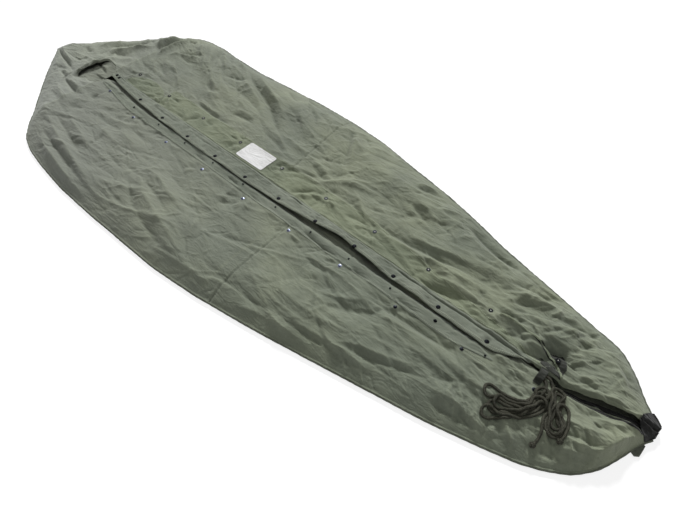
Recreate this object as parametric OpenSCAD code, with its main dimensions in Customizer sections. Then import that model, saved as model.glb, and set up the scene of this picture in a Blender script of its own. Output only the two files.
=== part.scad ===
// Mummy-shaped cotton bivy sack (sleeping-bag case) lying flat on its back.
// Frame: +Z up, +Y towards the hood, +X towards the side that carries the fly flap.
// The origin is at the middle of the box that the sack fills, on the ground.
// Fabric is drawn thicker than it is, so that every sheet is a sound solid.

/* [Outline] */
// Length from the tip of the hood to the tip of the foot
sack_l = 2232; // [2000:8:2400]
// Width across the chest, the widest part
sack_w = 780; // [740:4:860]

/* [Fabric] */
// Thickness that a single layer of cloth is drawn at
cloth_t = 2.4; // [2:0.1:3]
// Height of the top of the front panels above the ground
front_h = 40; // [36:1:60]
// Height of the front panels where they meet the side seams
edge_h = 9; // [8:0.5:12]
// Width over which the front rises from the side seam
ramp_w = 90; // [70:5:100]

/* [Closure] */
// Free width of the fly flap, from its seam to its edge
fly_w = 44; // [36:1:50]
// Top end of the fly, towards the hood
fly_y1 = 745; // [700:5:750]
// Bottom end of the fly, towards the foot
fly_y0 = -840; // [-850:5:-830]
// How many snap fasteners the fly has
fly_snaps = 11; // [6:1:11]
// Distance from one fly snap to the next
fly_pitch = 131; // [100:1:131]
// Distance from one snap to the next in the two outer rows
row_pitch = 175; // [120:1:175]
// Radius of the cap of a snap fastener
snap_r = 5.6; // [5:0.1:6.5]

/* [Label] */
// Width of the label, across the sack
label_w = 66; // [40:1:66]
// Height of the label, along the sack
label_l = 108; // [60:1:120]

/* [Cords] */
// Diameter of the tie cords
cord_d = 7; // [5:0.5:8]

/* [Hidden] */

// colours of the cloth and the metal
c_cloth = [0.42, 0.44, 0.38];
c_cloth2 = [0.47, 0.49, 0.43];
c_dark = [0.30, 0.32, 0.27];
c_green = [0.46, 0.49, 0.37];
c_black = [0.06, 0.06, 0.06];
c_white = [0.90, 0.89, 0.86];
c_metal = [0.12, 0.12, 0.11];
c_worn = [0.45, 0.46, 0.48];
c_cord = [0.16, 0.16, 0.12];

kx = sack_w / 780;
ky = sack_l / 2232;

// The sewn outline: how far along the sack, then how far out the left and the right edge are.
stations = [
    [1116, 18, 8], [1094, 36, 34], [1034, 92, 94], [980, 140, 156], [940, 172, 190], [880, 220, 262],
    [820, 268, 332], [770, 312, 374], [720, 346, 386], [650, 368, 390], [560, 380, 380], [430, 390, 374],
    [290, 390, 380], [140, 386, 386], [0, 382, 384], [-150, 364, 370], [-280, 341, 342], [-400, 317, 322],
    [-520, 291, 292], [-640, 265, 256], [-760, 239, 230], [-870, 208, 204], [-940, 186, 188],
    [-980, 166, 180], [-1020, 141, 152], [-1051, 106, 120], [-1070, 72, 98], [-1088, 20, 82],
    [-1104, -14, 74], [-1116, -32, 62]];
y_head = 1116 * ky;
y_foot = -1116 * ky;
tabL = [for (s = stations) [s[0] * ky, -s[1] * kx]];
tabR = [for (s = stations) [s[0] * ky, s[2] * kx]];
function xl(y) = lookup(y, tabL);
function xr(y) = lookup(y, tabR);
outline = concat([for (s = tabR) [s[1], s[0]]], [for (i = [len(tabL) - 1:-1:0]) [tabL[i][1], tabL[i][0]]]);

// Height of the top of the front at a point: a ramp up from the edge, then a level field.
function rise(u) = let (v = max(0, min(1, u))) 1 - (1 - v) * (1 - v);
function ztop(x, y) = edge_h + (front_h - edge_h) * rise(min((min(xr(y) - x, x - xl(y)) - 8) / ramp_w,
    (y_head - y) / 110, (y - y_foot) / 110));

// Fold lines: the front edges turn back about these two straight lines.
foldR_x = 50;    // where the right line crosses foldR_y
foldR_y = -630;
foldR_k = 0.13;  // how far it leans out for each millimetre along
foldL_x = -55;
foldL_y = -700;
foldL_k = -0.115;
function foldR(y) = foldR_x + foldR_k * (y - foldR_y);
function foldL(y) = foldL_x + foldL_k * (y - foldL_y);
fold_gap = 0.6;

neck_y = 770;      // where the hood is joined to the front
foot_y = -925;     // where the right front edge stops
lfoot_y = -785;    // where the left front edge stops
patch_y = -1070;   // where the foot patch begins
seamL_y = -190;    // cross seam of the left front
seamR_y = -20;     // cross seam of the right front
slit_x = 0.5;      // right side of the closure
under_x = -3;      // edge of the left front, under the fly

// The mouth of the hood, a leaning oval: points from its lower right, round the left, to the top.
mouthR = [[770, 12], [790, 28], [825, 35], [845, 30], [857, 16], [866, -6], [872, -28]];
mouthL = [[770, -54], [800, -66], [840, -76], [855, -76], [864, -68], [870, -50], [872, -28]];
mouth_x = -28;     // its top
mouth_y = 872;

// ---- a curved sheet between an outer and an inner edge ----
// ys: stations along Y from head to foot; xo, xi: outer and inner edge at each.
function cols(xo, xi) = let (w = abs(xi - xo), k = min(1, w / 112), s = xi > xo ? 1 : -1)
    [xo, xo + s * 8 * k, xo + s * 26 * k, xo + s * 48 * k, xo + s * 72 * k, xo + s * 98 * k, xi];
module sheet(ys, xo, xi, t = cloth_t) {
    n = len(ys);
    m = 7;
    rows = [for (i = [0:n - 1]) cols(xo[i], xi[i])];
    top = [for (i = [0:n - 1]) for (j = [0:m - 1]) [rows[i][j], ys[i], ztop(rows[i][j], ys[i])]];
    bot = [for (p = top) [p[0], p[1], p[2] - t]];
    N = n * m;
    fl = xi[0] > xo[0] ? 1 : 0;
    function tri(a, b, c) = fl == 1 ? [a, b, c] : [c, b, a];
    faces = concat(
        [for (i = [0:n - 2]) for (j = [0:m - 2]) let (a = i * m + j, b = a + 1, c = a + m + 1, d = a + m)
            each [tri(a, b, c), tri(a, c, d)]],
        [for (i = [0:n - 2]) for (j = [0:m - 2]) let (a = N + i * m + j, b = a + 1, c = a + m + 1, d = a + m)
            each [tri(c, b, a), tri(d, c, a)]],
        [for (j = [0:m - 2]) let (a = j, b = j + 1) each [tri(b, a, a + N), tri(b, a + N, b + N)]],
        [for (j = [0:m - 2]) let (a = (n - 1) * m + j, b = a + 1) each [tri(a, b, b + N), tri(a, b + N, a + N)]],
        [for (i = [0:n - 2]) let (a = i * m, b = a + m) each [tri(a, b, b + N), tri(a, b + N, a + N)]],
        [for (i = [0:n - 2]) let (a = i * m + m - 1, b = a + m) each [tri(b, a, a + N), tri(b, a + N, b + N)]]);
    polyhedron(points = concat(top, bot), faces = faces, convexity = 6);
}
function span(y1, y0, extra = []) = let (all = concat([for (s = tabL) s[0]], extra))
    concat([y1], sort_down([for (y = all) if (y < y1 - 4 && y > y0 + 4) y]), [y0]);
function sort_down(a) = len(a) <= 1 ? a : let (p = a[floor(len(a) / 2)])
    concat(sort_down([for (v = a) if (v > p) v]), [p], sort_down([for (v = a) if (v < p) v]));

// ---- back and side seams ----
module cut_outline(y1, y0) {
    ys = span(y1, y0);
    polygon(concat([for (y = ys) [xr(y), y]], [for (i = [len(ys) - 1:-1:0]) [xl(ys[i]), ys[i]]]));
}
module back_panel_upper() color(c_dark) linear_extrude(cloth_t) cut_outline(y_head, seamR_y + 0.1);
module back_panel_lower() color(c_dark) linear_extrude(cloth_t) cut_outline(seamR_y - 0.1, y_foot);

mid_head = (-18 + 8) / 2 * kx;
mid_foot = (32 + 62) / 2 * kx;
function inset(p, k = 0) = [p[0] * (1 - 8 / 400) , p[1] * (1 - 10 / 1116)];
module left_side_seam() color(c_dark) translate([0, 0, cloth_t]) linear_extrude(edge_h - 2 * cloth_t)
    polygon(concat([[mid_head, y_head]], [for (p = tabL) [p[1], p[0]]], [[mid_foot - 0.5, y_foot]],
        [[mid_foot - 0.5, y_foot * (1 - 10 / 1116)]],
        [for (i = [len(tabL) - 2:-1:0]) inset([tabL[i][1] , tabL[i][0]])], [[mid_head, y_head * (1 - 10 / 1116)]]));
module right_side_seam() color(c_dark) translate([0, 0, cloth_t]) linear_extrude(edge_h - 2 * cloth_t)
    polygon(concat([[mid_head + 0.5, y_head]], [for (p = tabR) [p[1], p[0]]], [[mid_foot, y_foot]],
        [[mid_foot, y_foot * (1 - 10 / 1116)]],
        [for (i = [len(tabR) - 2:-1:0]) inset([tabR[i][1], tabR[i][0]])], [[mid_head + 0.5, y_head * (1 - 10 / 1116)]]));

// ---- front panels, outside the fold lines ----
function slit_foot(y) = (foot_y - y) / (foot_y - y_foot) * mid_foot;
module front_part(side, y1, y0, inner) {
    ys = span(y1, y0);
    sheet(ys, [for (y = ys) side < 0 ? xl(y) : xr(y)], [for (y = ys) inner(y)]);
}
module left_front_upper() color(c_cloth)
    front_part(-1, neck_y - 0.1, seamL_y + 0.1, function (y) foldL(y) - fold_gap);
module left_front_lower() color(c_cloth) union() {
    front_part(-1, seamL_y - 0.1, lfoot_y, function (y) foldL(y) - fold_gap);
    front_part(-1, lfoot_y, foot_y, function (y) under_x);
    front_part(-1, foot_y, patch_y, function (y) under_x + slit_foot(y));
}
module right_front_upper() color(c_cloth)
    front_part(1, neck_y - 0.1, seamR_y + 0.1, function (y) foldR(y) + fold_gap);
module right_front_lower() color(c_cloth) union() {
    front_part(1, seamR_y - 0.1, foot_y, function (y) foldR(y) + fold_gap);
    front_part(1, foot_y, patch_y, function (y) slit_x + slit_foot(y));
}

// ---- hood ----
module hood_half(side, mouth) {
    ys = span(y_head - 3, neck_y + 0.8, [for (p = mouth) p[0]]);
    mid = function (y) y >= mouth_y ? mouth_x + (mid_head - mouth_x) * (y - mouth_y) / (y_head - mouth_y) + side * 0.1 : lookup(y, mouth);
    sheet(ys, [for (y = ys) side < 0 ? xl(y) : xr(y)], [for (y = ys) mid(y)]);
}
module hood_left() color(c_cloth2) hood_half(-1, mouthL);
module hood_right() color(c_cloth2) hood_half(1, mouthR);
// facing sewn round the upper edge of the mouth
module hood_facing() color(c_dark) translate([0, 0, front_h]) linear_extrude(1.6)
    polygon([[35, 800], [36, 825], [31, 846], [17, 858], [-6, 867], [-28, 873], [-50, 871], [-69, 865], [-77, 856], [-77, 840],
        [-87, 838], [-88, 859], [-76, 874], [-54, 881], [-28, 883], [-2, 878], [23, 868], [40, 853], [46, 826], [45, 800]]);
// tape over the hood's centre seam, from the mouth to the tip
module hood_seam_tape() color(c_dark) translate([0, 0, front_h]) linear_extrude(1.2)
    polygon([[-32, 890], [-18, 890], [-9, 1000], [-23, 1000]]);

// ---- foot ----
// the patch caps the tip and hides the end of the slit
module foot_patch() color(c_black) union() {
    front_part(-1, patch_y - 0.3, y_foot + 4, function (y) slit_x + slit_foot(y));
    front_part(1, patch_y - 0.3, y_foot + 4, function (y) slit_x + slit_foot(y));
}
// facing that backs the slit below the last snap
module foot_slit_facing() color(c_dark) translate([0, 0, front_h - 2 * cloth_t - 1.6]) linear_extrude(cloth_t)
    polygon([[-24, -932], [22, -932], [30, -1000], [-8, -1000]]);
// tape loop at the end of the closure that holds both cords
module cord_keeper() color(c_dark) translate([-31, -887, front_h]) difference() {
    cube([27, 18, 13]);
    translate([3, -1, 2]) cube([21, 20, 9]);
}

// ---- snap fasteners ----
module cap() rotate_extrude($fn = 48)
    polygon([[0, 0], [snap_r, 0], [snap_r, 0.7], [snap_r - 1, 1.5], [2.6, 2.0], [0, 2.0]]);
module socket() difference() {
    cylinder(r = snap_r - 0.8, h = 2.4, $fn = 48);
    translate([0, 0, -1]) cylinder(r = 2.7, h = 2.6, $fn = 48);
}
module stud() rotate_extrude($fn = 48)
    polygon([[0, 0], [snap_r - 0.8, 0], [snap_r - 0.8, 0.7], [3, 1.1], [2.1, 2.2], [2.6, 3.0], [1.8, 3.7], [0, 3.7]]);
module rivet() cylinder(r = snap_r - 1, h = 1, $fn = 48);
module ring_snap() difference() {
    rotate_extrude($fn = 48) polygon([[0, 0], [snap_r, 0], [snap_r, 0.6], [snap_r - 1.2, 1.7], [3.4, 1.7], [2.8, 1.1], [0, 1.1]]);
    translate([0, 0, 0.5]) cylinder(r = 1.8, h = 2, $fn = 32);
}

// fly snaps: how far along, then how far out; the flap lies in a slow wave
fly_tab = [[-762, -26], [-628, -24], [-495, -25], [-358, -17], [-228, -22], [-99, -29], [30, -34], [157, -34], [289, -33], [426, -30], [569, -20], [745, -14]];
function fly_x(y) = lookup(y, fly_tab);
plk_x = -55;       // studs of the placket
fly_snap_y = [for (i = [0:fly_snaps - 1]) 560 - fly_pitch * i];
plk_y = [for (i = [0:fly_snaps - 1]) 545 - fly_pitch * i];
rows_n = 10;
out_y = [for (j = [0:rows_n - 1]) 682 - row_pitch * j + (j == rows_n - 1 ? 11 : 0)];
ring_y = [for (j = [0:rows_n - 1]) 687 - row_pitch * j];
out_tab = [[-882, -52], [-718, -74], [-543, -86], [-368, -84], [-193, -88], [0, -92], [160, -92], [507, -86], [600, -86], [682, -57]];
ring_tab = [[-890, 40], [-713, 52], [-538, 50], [-363, 56], [-13, 62], [160, 58], [512, 56], [687, 64]];
function out_x(y) = lookup(y, out_tab);
function ring_x(y) = lookup(y, ring_tab);
function on_left(x, y) = x > foldL(y) && y > lfoot_y;
function on_right(x, y) = x < foldR(y) && y > foot_y + 60;

z0 = front_h;                 // top of the front panels
strip_t = 1.2;                // facing strips on the front
z1 = z0 + strip_t;
fly_z = z0 + 3.2;             // underside of the fly

module at(list) for (p = list) translate(p) children();
plk_in = [for (y = plk_y) if (on_left(plk_x, y)) [plk_x, y, z1]];
plk_out = [for (y = plk_y) if (!on_left(plk_x, y)) [plk_x, y, z0]];
out_in = [for (y = out_y) if (on_left(out_x(y), y)) [out_x(y), y, out_x(y) > -70 && y > 600 ? z1 : z0]];
out_out = [for (y = out_y) if (!on_left(out_x(y), y)) [out_x(y), y, z0]];
ring_in = [for (y = ring_y) if (on_right(ring_x(y), y)) [ring_x(y), y, z1]];
ring_out = [for (y = ring_y) if (!on_right(ring_x(y), y)) [ring_x(y), y, z0]];
function under(l) = [for (p = l) [p[0], p[1], z0 - cloth_t - 1]];

module placket_stud_foot() color(c_metal) at(plk_out) stud();
module placket_rivet_foot() color(c_metal) at(under(plk_out)) rivet();
module outer_studs_foot() color(c_worn) at(out_out) stud();
module outer_rivets_foot() color(c_metal) at(under(out_out)) rivet();
module ring_snaps_foot() color(c_metal) at(ring_out) ring_snap();
module ring_rivets_foot() color(c_metal) at(under(ring_out)) rivet();

// ---- left front edge: turns back about the left fold line ----
module lapel(pts) translate([0, 0, z0 - cloth_t]) linear_extrude(cloth_t) polygon(pts);
module left_lapel_upper() color(c_cloth) lapel([[under_x, seamL_y + 0.1], [under_x, neck_y - 0.1],
    [foldL(neck_y) + fold_gap, neck_y - 0.1], [foldL(seamL_y) + fold_gap, seamL_y + 0.1]]);
module left_lapel_lower() color(c_cloth) lapel([[under_x, seamL_y - 0.1], [foldL(seamL_y) + fold_gap, seamL_y - 0.1],
    [foldL(lfoot_y + 0.8) + fold_gap, lfoot_y + 0.8], [under_x, lfoot_y + 0.8]]);
// strip that backs the studs, along the edge of the left front
module left_placket() color(c_cloth2) difference() {
    translate([0, 0, z0]) linear_extrude(strip_t)
        polygon([[-43, -560], [-43, 742], [-75, 742], [-75, -490], [foldL(-700) + 4, -700], [-47, -745], [-43, -745]]);
}
module placket_studs() color(c_metal) at(plk_in) stud();
module placket_rivets() color(c_metal) at(under(plk_in)) rivet();
module outer_studs() color(c_worn) at(out_in) stud();
module outer_rivets() color(c_metal) at(under(out_in)) rivet();

// ---- right front edge: turns back about the right fold line ----
module right_lapel_upper() color(c_cloth) lapel([[slit_x, seamR_y + 0.1], [foldR(seamR_y) - fold_gap, seamR_y + 0.1],
    [foldR(neck_y) - fold_gap, neck_y - 0.1], [slit_x, neck_y - 0.1]]);
module right_lapel_lower() color(c_cloth) lapel([[slit_x, foot_y + 0.8], [foldR(foot_y + 0.8) - fold_gap, foot_y + 0.8],
    [foldR(seamR_y) - fold_gap, seamR_y - 0.1], [slit_x, seamR_y - 0.1]]);
// the fly's seam: the folded allowance that the flap hinges on
seam_x = 4.8;
module fly_base() color(c_dark) translate([seam_x, fly_y0, z0]) cube([7.4, fly_y1 - fly_y0, 5.6]);
// facing strip between the fly seam and the ring snaps
fac_x0 = 12.6;
fac_x1 = 84;
module right_facing() color(c_green) translate([0, 0, z0]) linear_extrude(strip_t) polygon([
    [fac_x0, -860], [foldR(-860) - 4, -860], [foldR(-410) - 4, -410], [fac_x1, -330], [fac_x1, 500], [60, 560], [fac_x0, 575]]);
// rounded patch where the facing ends below the mouth
module corner_patch() color(c_green) translate([0, 0, z0]) linear_extrude(strip_t) union() {
    intersection() {
        translate([14, 640]) circle(r = 62, $fn = 72);
        translate([14, 578]) square([90, 124]);
    }
    translate([14, 578]) square([10, 150]);
}
module ring_snaps() color(c_metal) at([for (p = ring_in) [p[0], p[1], p[1] > 600 ? z1 : z1]]) ring_snap();
module ring_rivets() color(c_metal) at(under(ring_in)) rivet();
module label() color(c_white) translate([14, 26, z1]) cube([label_w, label_l, 0.8]);

// ---- fly flap: hinges on its seam ----
fly_ys = concat([fly_y0], [for (p = fly_tab) if (p[0] > fly_y0 + 2 && p[0] < fly_y1 - 2) p[0]], [fly_y1]);
function fly_edge(y) = fly_x(y) - fly_w + 30.5;
module fly_flap() color(c_cloth2) translate([0, 0, fly_z]) linear_extrude(cloth_t) polygon(concat(
    [[seam_x - 0.5, fly_y1], [seam_x - 0.5, fly_y0]], [for (y = fly_ys) [fly_edge(y), y]]));
module fly_hem() color(c_cloth2) translate([0, 0, fly_z + cloth_t]) linear_extrude(0.8) polygon(concat(
    [for (y = fly_ys) [fly_edge(y), y]], [for (i = [len(fly_ys) - 1:-1:0]) [fly_edge(fly_ys[i]) + 7, fly_ys[i]]]));
module fly_caps() color(c_metal) at([for (y = fly_snap_y) [fly_x(y), y, fly_z + cloth_t]]) cap();
module fly_sockets() color(c_metal) at([for (y = fly_snap_y) [fly_x(y), y, fly_z - 2.4]]) socket();

// ---- tape tab at the foot: hinges on its sewn end ----
tab_a = -25.2;     // the way the left edge of the foot runs there
module tape_tab() color(c_dark) translate([-4 * kx, -1095.5 * ky, 3]) rotate([0, 0, tab_a]) linear_extrude(2)
    polygon([[-17, -1.4], [17, -1.4], [17, -6], [-8, -17], [-17, -12]]);

// ---- cords ----
// routes in millimetres, round numbers
route_a = [[-22, -871, 46.5], [-22, -880, 46.5], [-23, -888, 46.5], [-27, -895, 46.5], [-34, -901, 46.5], [-41, -904, 46.5], [-48, -905, 46.5]];
route_b = [[-13, -871, 46.5], [-13, -882, 46.5], [-13, -894, 46.5], [-16, -906, 46.5], [-22, -915, 46.5], [-31, -923, 46.5]];
function unit(v) = v / norm(v);
function tang(r, i) = unit(r[min(i + 1, len(r) - 1)] - r[max(i - 1, 0)]);
module tube(r, d, k = 10) {
    n = len(r);
    pts = [for (i = [0:n - 1]) let (t = tang(r, i), a = unit(cross(t, [0, 0, 1])), b = cross(a, t))
        for (j = [0:k - 1]) r[i] + d / 2 * (cos(360 * j / k) * a + sin(360 * j / k) * b)];
    faces = concat([[for (j = [0:k - 1]) j]],
        [for (i = [0:n - 2]) for (j = [0:k - 1]) let (a = i * k + j, b = i * k + (j + 1) % k)
            each [[a, a + k, b + k], [a, b + k, b]]],
        [[for (j = [k - 1:-1:0]) (n - 1) * k + j]]);
    polyhedron(points = pts, faces = faces, convexity = 4);
}
module cord_a_tube() color(c_cord) tube(route_a, cord_d);
module cord_b_tube() color(c_cord) tube(route_b, cord_d);
module capsule(a, b, w, h) {
    linear_extrude(h) hull() {
        translate(a) circle(d = w, $fn = 32);
        translate(b) circle(d = w, $fn = 32);
    }
}
module cord_a_hank() color(c_cord) translate([0, 0, z0 + 0.2]) linear_extrude(22) union() {
    hull() { translate([-61.6, -906]) circle(r = 13, $fn = 48); translate([-106, -888]) circle(r = 20, $fn = 48); }
    hull() { translate([-106, -888]) circle(r = 20, $fn = 48); translate([-134, -832]) circle(r = 27, $fn = 48); }
}
module cord_b_hank() color(c_cord) translate([0, 0, z0 + 0.2]) capsule([-44, -934], [-90, -960], 34, 18);

back_panel_upper();
back_panel_lower();
left_side_seam();
right_side_seam();
left_front_upper();
left_front_lower();
right_front_upper();
right_front_lower();
hood_left();
hood_right();
hood_facing();
hood_seam_tape();
foot_patch();
foot_slit_facing();
cord_keeper();
cord_a_tube();
cord_a_hank();
cord_b_tube();
cord_b_hank();
placket_stud_foot();
placket_rivet_foot();
outer_studs_foot();
outer_rivets_foot();
ring_snaps_foot();
ring_rivets_foot();
left_lapel_upper();
left_lapel_lower();
left_placket();
placket_studs();
placket_rivets();
outer_studs();
outer_rivets();
right_lapel_upper();
right_lapel_lower();
right_facing();
corner_patch();
fly_base();
label();
ring_snaps();
ring_rivets();
fly_flap();
fly_hem();
fly_caps();
fly_sockets();
tape_tab();
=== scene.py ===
import math

import bpy
import numpy as np
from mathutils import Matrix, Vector


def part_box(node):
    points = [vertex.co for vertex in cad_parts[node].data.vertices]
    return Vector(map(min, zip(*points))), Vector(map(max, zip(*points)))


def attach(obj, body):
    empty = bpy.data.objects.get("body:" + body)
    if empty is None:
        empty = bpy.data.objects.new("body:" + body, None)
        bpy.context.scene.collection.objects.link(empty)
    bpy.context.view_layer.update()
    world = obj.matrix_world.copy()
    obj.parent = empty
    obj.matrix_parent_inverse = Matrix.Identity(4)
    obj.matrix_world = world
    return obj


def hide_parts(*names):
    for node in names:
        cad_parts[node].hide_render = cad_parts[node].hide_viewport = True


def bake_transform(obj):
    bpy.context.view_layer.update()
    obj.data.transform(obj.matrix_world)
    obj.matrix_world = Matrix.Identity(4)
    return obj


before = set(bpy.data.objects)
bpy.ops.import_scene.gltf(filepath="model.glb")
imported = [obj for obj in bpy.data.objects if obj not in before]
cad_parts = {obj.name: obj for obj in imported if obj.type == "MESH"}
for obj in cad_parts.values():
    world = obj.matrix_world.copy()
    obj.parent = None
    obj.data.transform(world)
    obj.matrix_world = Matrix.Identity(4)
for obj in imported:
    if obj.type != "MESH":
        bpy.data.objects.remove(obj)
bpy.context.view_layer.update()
MM = 0.001


# ------------------------------------------------------------------ helpers
def sstep(t):
    t = np.clip(t, 0.0, 1.0)
    return t * t * (3 - 2 * t)


def lut(y, table):
    """Straight-line lookup in a table of (y, value), any order."""
    t = sorted(table)
    return np.interp(y, [p[0] for p in t], [p[1] for p in t])


def smooth_lut(y, table, r):
    """The same lookup, rounded off over plus and minus r."""
    y = np.asarray(y, float)
    tot = 0
    ws = (1, 2, 3, 2, 1)
    for k, w in zip((-1, -0.5, 0, 0.5, 1), ws):
        tot = tot + w * lut(y + k * r, table)
    return tot / sum(ws)


def hash01(i, j, seed):
    n = (i * 374761393 + j * 668265263 + seed * 2246822519) & 0xFFFFFFFF
    n = ((n ^ (n >> 13)) * 1274126177) & 0xFFFFFFFF
    n = n ^ (n >> 16)
    return (n & 0xFFFF) / 65535.0


def vnoise(x, y, seed=0):
    """Smooth value noise, -1 to 1, one cell per unit."""
    xi, yi = np.floor(x).astype(np.int64), np.floor(y).astype(np.int64)
    fx, fy = sstep(x - xi), sstep(y - yi)
    a, b = hash01(xi, yi, seed), hash01(xi + 1, yi, seed)
    c, d = hash01(xi, yi + 1, seed), hash01(xi + 1, yi + 1, seed)
    return 2 * ((a * (1 - fx) + b * fx) * (1 - fy) + (c * (1 - fx) + d * fx) * fy) - 1


def collection(obj):
    bpy.context.scene.collection.objects.link(obj)
    return obj


def mesh_object(name, verts, faces, material=None, uv=None, smooth=True):
    me = bpy.data.meshes.new(name)
    me.from_pydata([tuple(v) for v in verts], [], [tuple(f) for f in faces])
    me.update()
    if smooth:
        me.polygons.foreach_set("use_smooth", np.ones(len(me.polygons), bool))
    if uv is not None:
        layer = me.uv_layers.new(name="UVMap")
        idx = np.zeros(len(me.loops), np.int32)
        me.loops.foreach_get("vertex_index", idx)
        layer.data.foreach_set("uv", np.asarray(uv, np.float32)[idx].ravel())
    ob = collection(bpy.data.objects.new(name, me))
    if material:
        me.materials.append(material)
    return ob


def set_smooth_by_normals(me, normals):
    """Smooth shading with the given normals, one for each vertex."""
    me.normals_split_custom_set_from_vertices([tuple(n) for n in normals])


# ------------------------------------------------------------------ camera
cam_data = bpy.data.cameras.new("camera")
cam_data.lens = 25.71
cam_data.sensor_width = 36.0
cam_data.clip_start = 0.05
cam_data.clip_end = 200
cam = collection(bpy.data.objects.new("camera", cam_data))
cam.location = (-0.610, -0.869, 1.024)
_h, _p = math.radians(41.6), math.radians(53.2)
look = Vector((math.cos(_h) * math.cos(_p), math.sin(_h) * math.cos(_p), -math.sin(_p)))
cam.rotation_mode = "QUATERNION"
cam.rotation_quaternion = look.to_track_quat("-Z", "Y")
bpy.context.scene.camera = cam
bpy.context.scene.view_settings.view_transform = "Standard"


# ------------------------------------------------------------------ materials
class Nodes:
    """A few short names for building a node tree."""

    def __init__(self, name):
        self.mat = bpy.data.materials.new(name)
        self.mat.use_nodes = True
        self.t = self.mat.node_tree
        self.t.nodes.clear()
        self.out = self.add("ShaderNodeOutputMaterial")
        self.bsdf = self.add("ShaderNodeBsdfPrincipled")
        self.link(self.bsdf.outputs["BSDF"], self.out.inputs["Surface"])

    def add(self, kind, **kw):
        n = self.t.nodes.new(kind)
        for k, v in kw.items():
            setattr(n, k, v)
        return n

    def link(self, a, b):
        self.t.links.new(a, b)

    def math(self, op, a, b=None, c=None):
        n = self.add("ShaderNodeMath", operation=op)
        for i, v in enumerate((a, b, c)):
            if v is None:
                continue
            if isinstance(v, (int, float)):
                n.inputs[i].default_value = v
            else:
                self.link(v, n.inputs[i])
        return n.outputs[0]

    def noise(self, vec, scale, detail=4.0, rough=0.55, distortion=0.0):
        n = self.add("ShaderNodeTexNoise")
        n.inputs["Scale"].default_value = scale
        n.inputs["Detail"].default_value = detail
        n.inputs["Roughness"].default_value = rough
        n.inputs["Distortion"].default_value = distortion
        self.link(vec, n.inputs["Vector"])
        return n.outputs["Fac"]

    def stretch(self, vec, scale, rot=(0, 0, 0)):
        n = self.add("ShaderNodeMapping")
        n.inputs["Scale"].default_value = scale
        n.inputs["Rotation"].default_value = rot
        self.link(vec, n.inputs["Vector"])
        return n.outputs["Vector"]

    def remap(self, v, a, b, c=0.0, d=1.0, smooth=False):
        n = self.add("ShaderNodeMapRange")
        if smooth:
            n.interpolation_type = "SMOOTHSTEP"
        n.inputs["From Min"].default_value = a
        n.inputs["From Max"].default_value = b
        n.inputs["To Min"].default_value = c
        n.inputs["To Max"].default_value = d
        self.link(v, n.inputs["Value"])
        return n.outputs["Result"]

    def mix(self, fac, a, b, blend="MIX"):
        n = self.add("ShaderNodeMix", data_type="RGBA", blend_type=blend)
        for sock, v in ((n.inputs[0], fac), (n.inputs[6], a), (n.inputs[7], b)):
            if isinstance(v, (int, float)):
                sock.default_value = v
            elif isinstance(v, tuple):
                sock.default_value = (*v[:3], 1.0)
            else:
                self.link(v, sock)
        return n.outputs[2]

    def bump(self, height, strength, dist, normal=None):
        n = self.add("ShaderNodeBump")
        n.inputs["Strength"].default_value = strength
        n.inputs["Distance"].default_value = dist
        self.link(height, n.inputs["Height"])
        if normal is not None:
            self.link(normal, n.inputs["Normal"])
        return n.outputs["Normal"]


def srgb(h):
    h = h.lstrip("#")
    out = []
    for i in (0, 2, 4):
        c = int(h[i : i + 2], 16) / 255
        out.append(c / 12.92 if c <= 0.04045 else ((c + 0.055) / 1.055) ** 2.4)
    return tuple(out)


def dyed(h, k=0.72):
    """The same colour at a lower value, for cloth under the full studio light."""
    r, g, b = srgb(h)
    return (r * k * 0.968, g * k * 0.99, b * k * 0.985)


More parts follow.
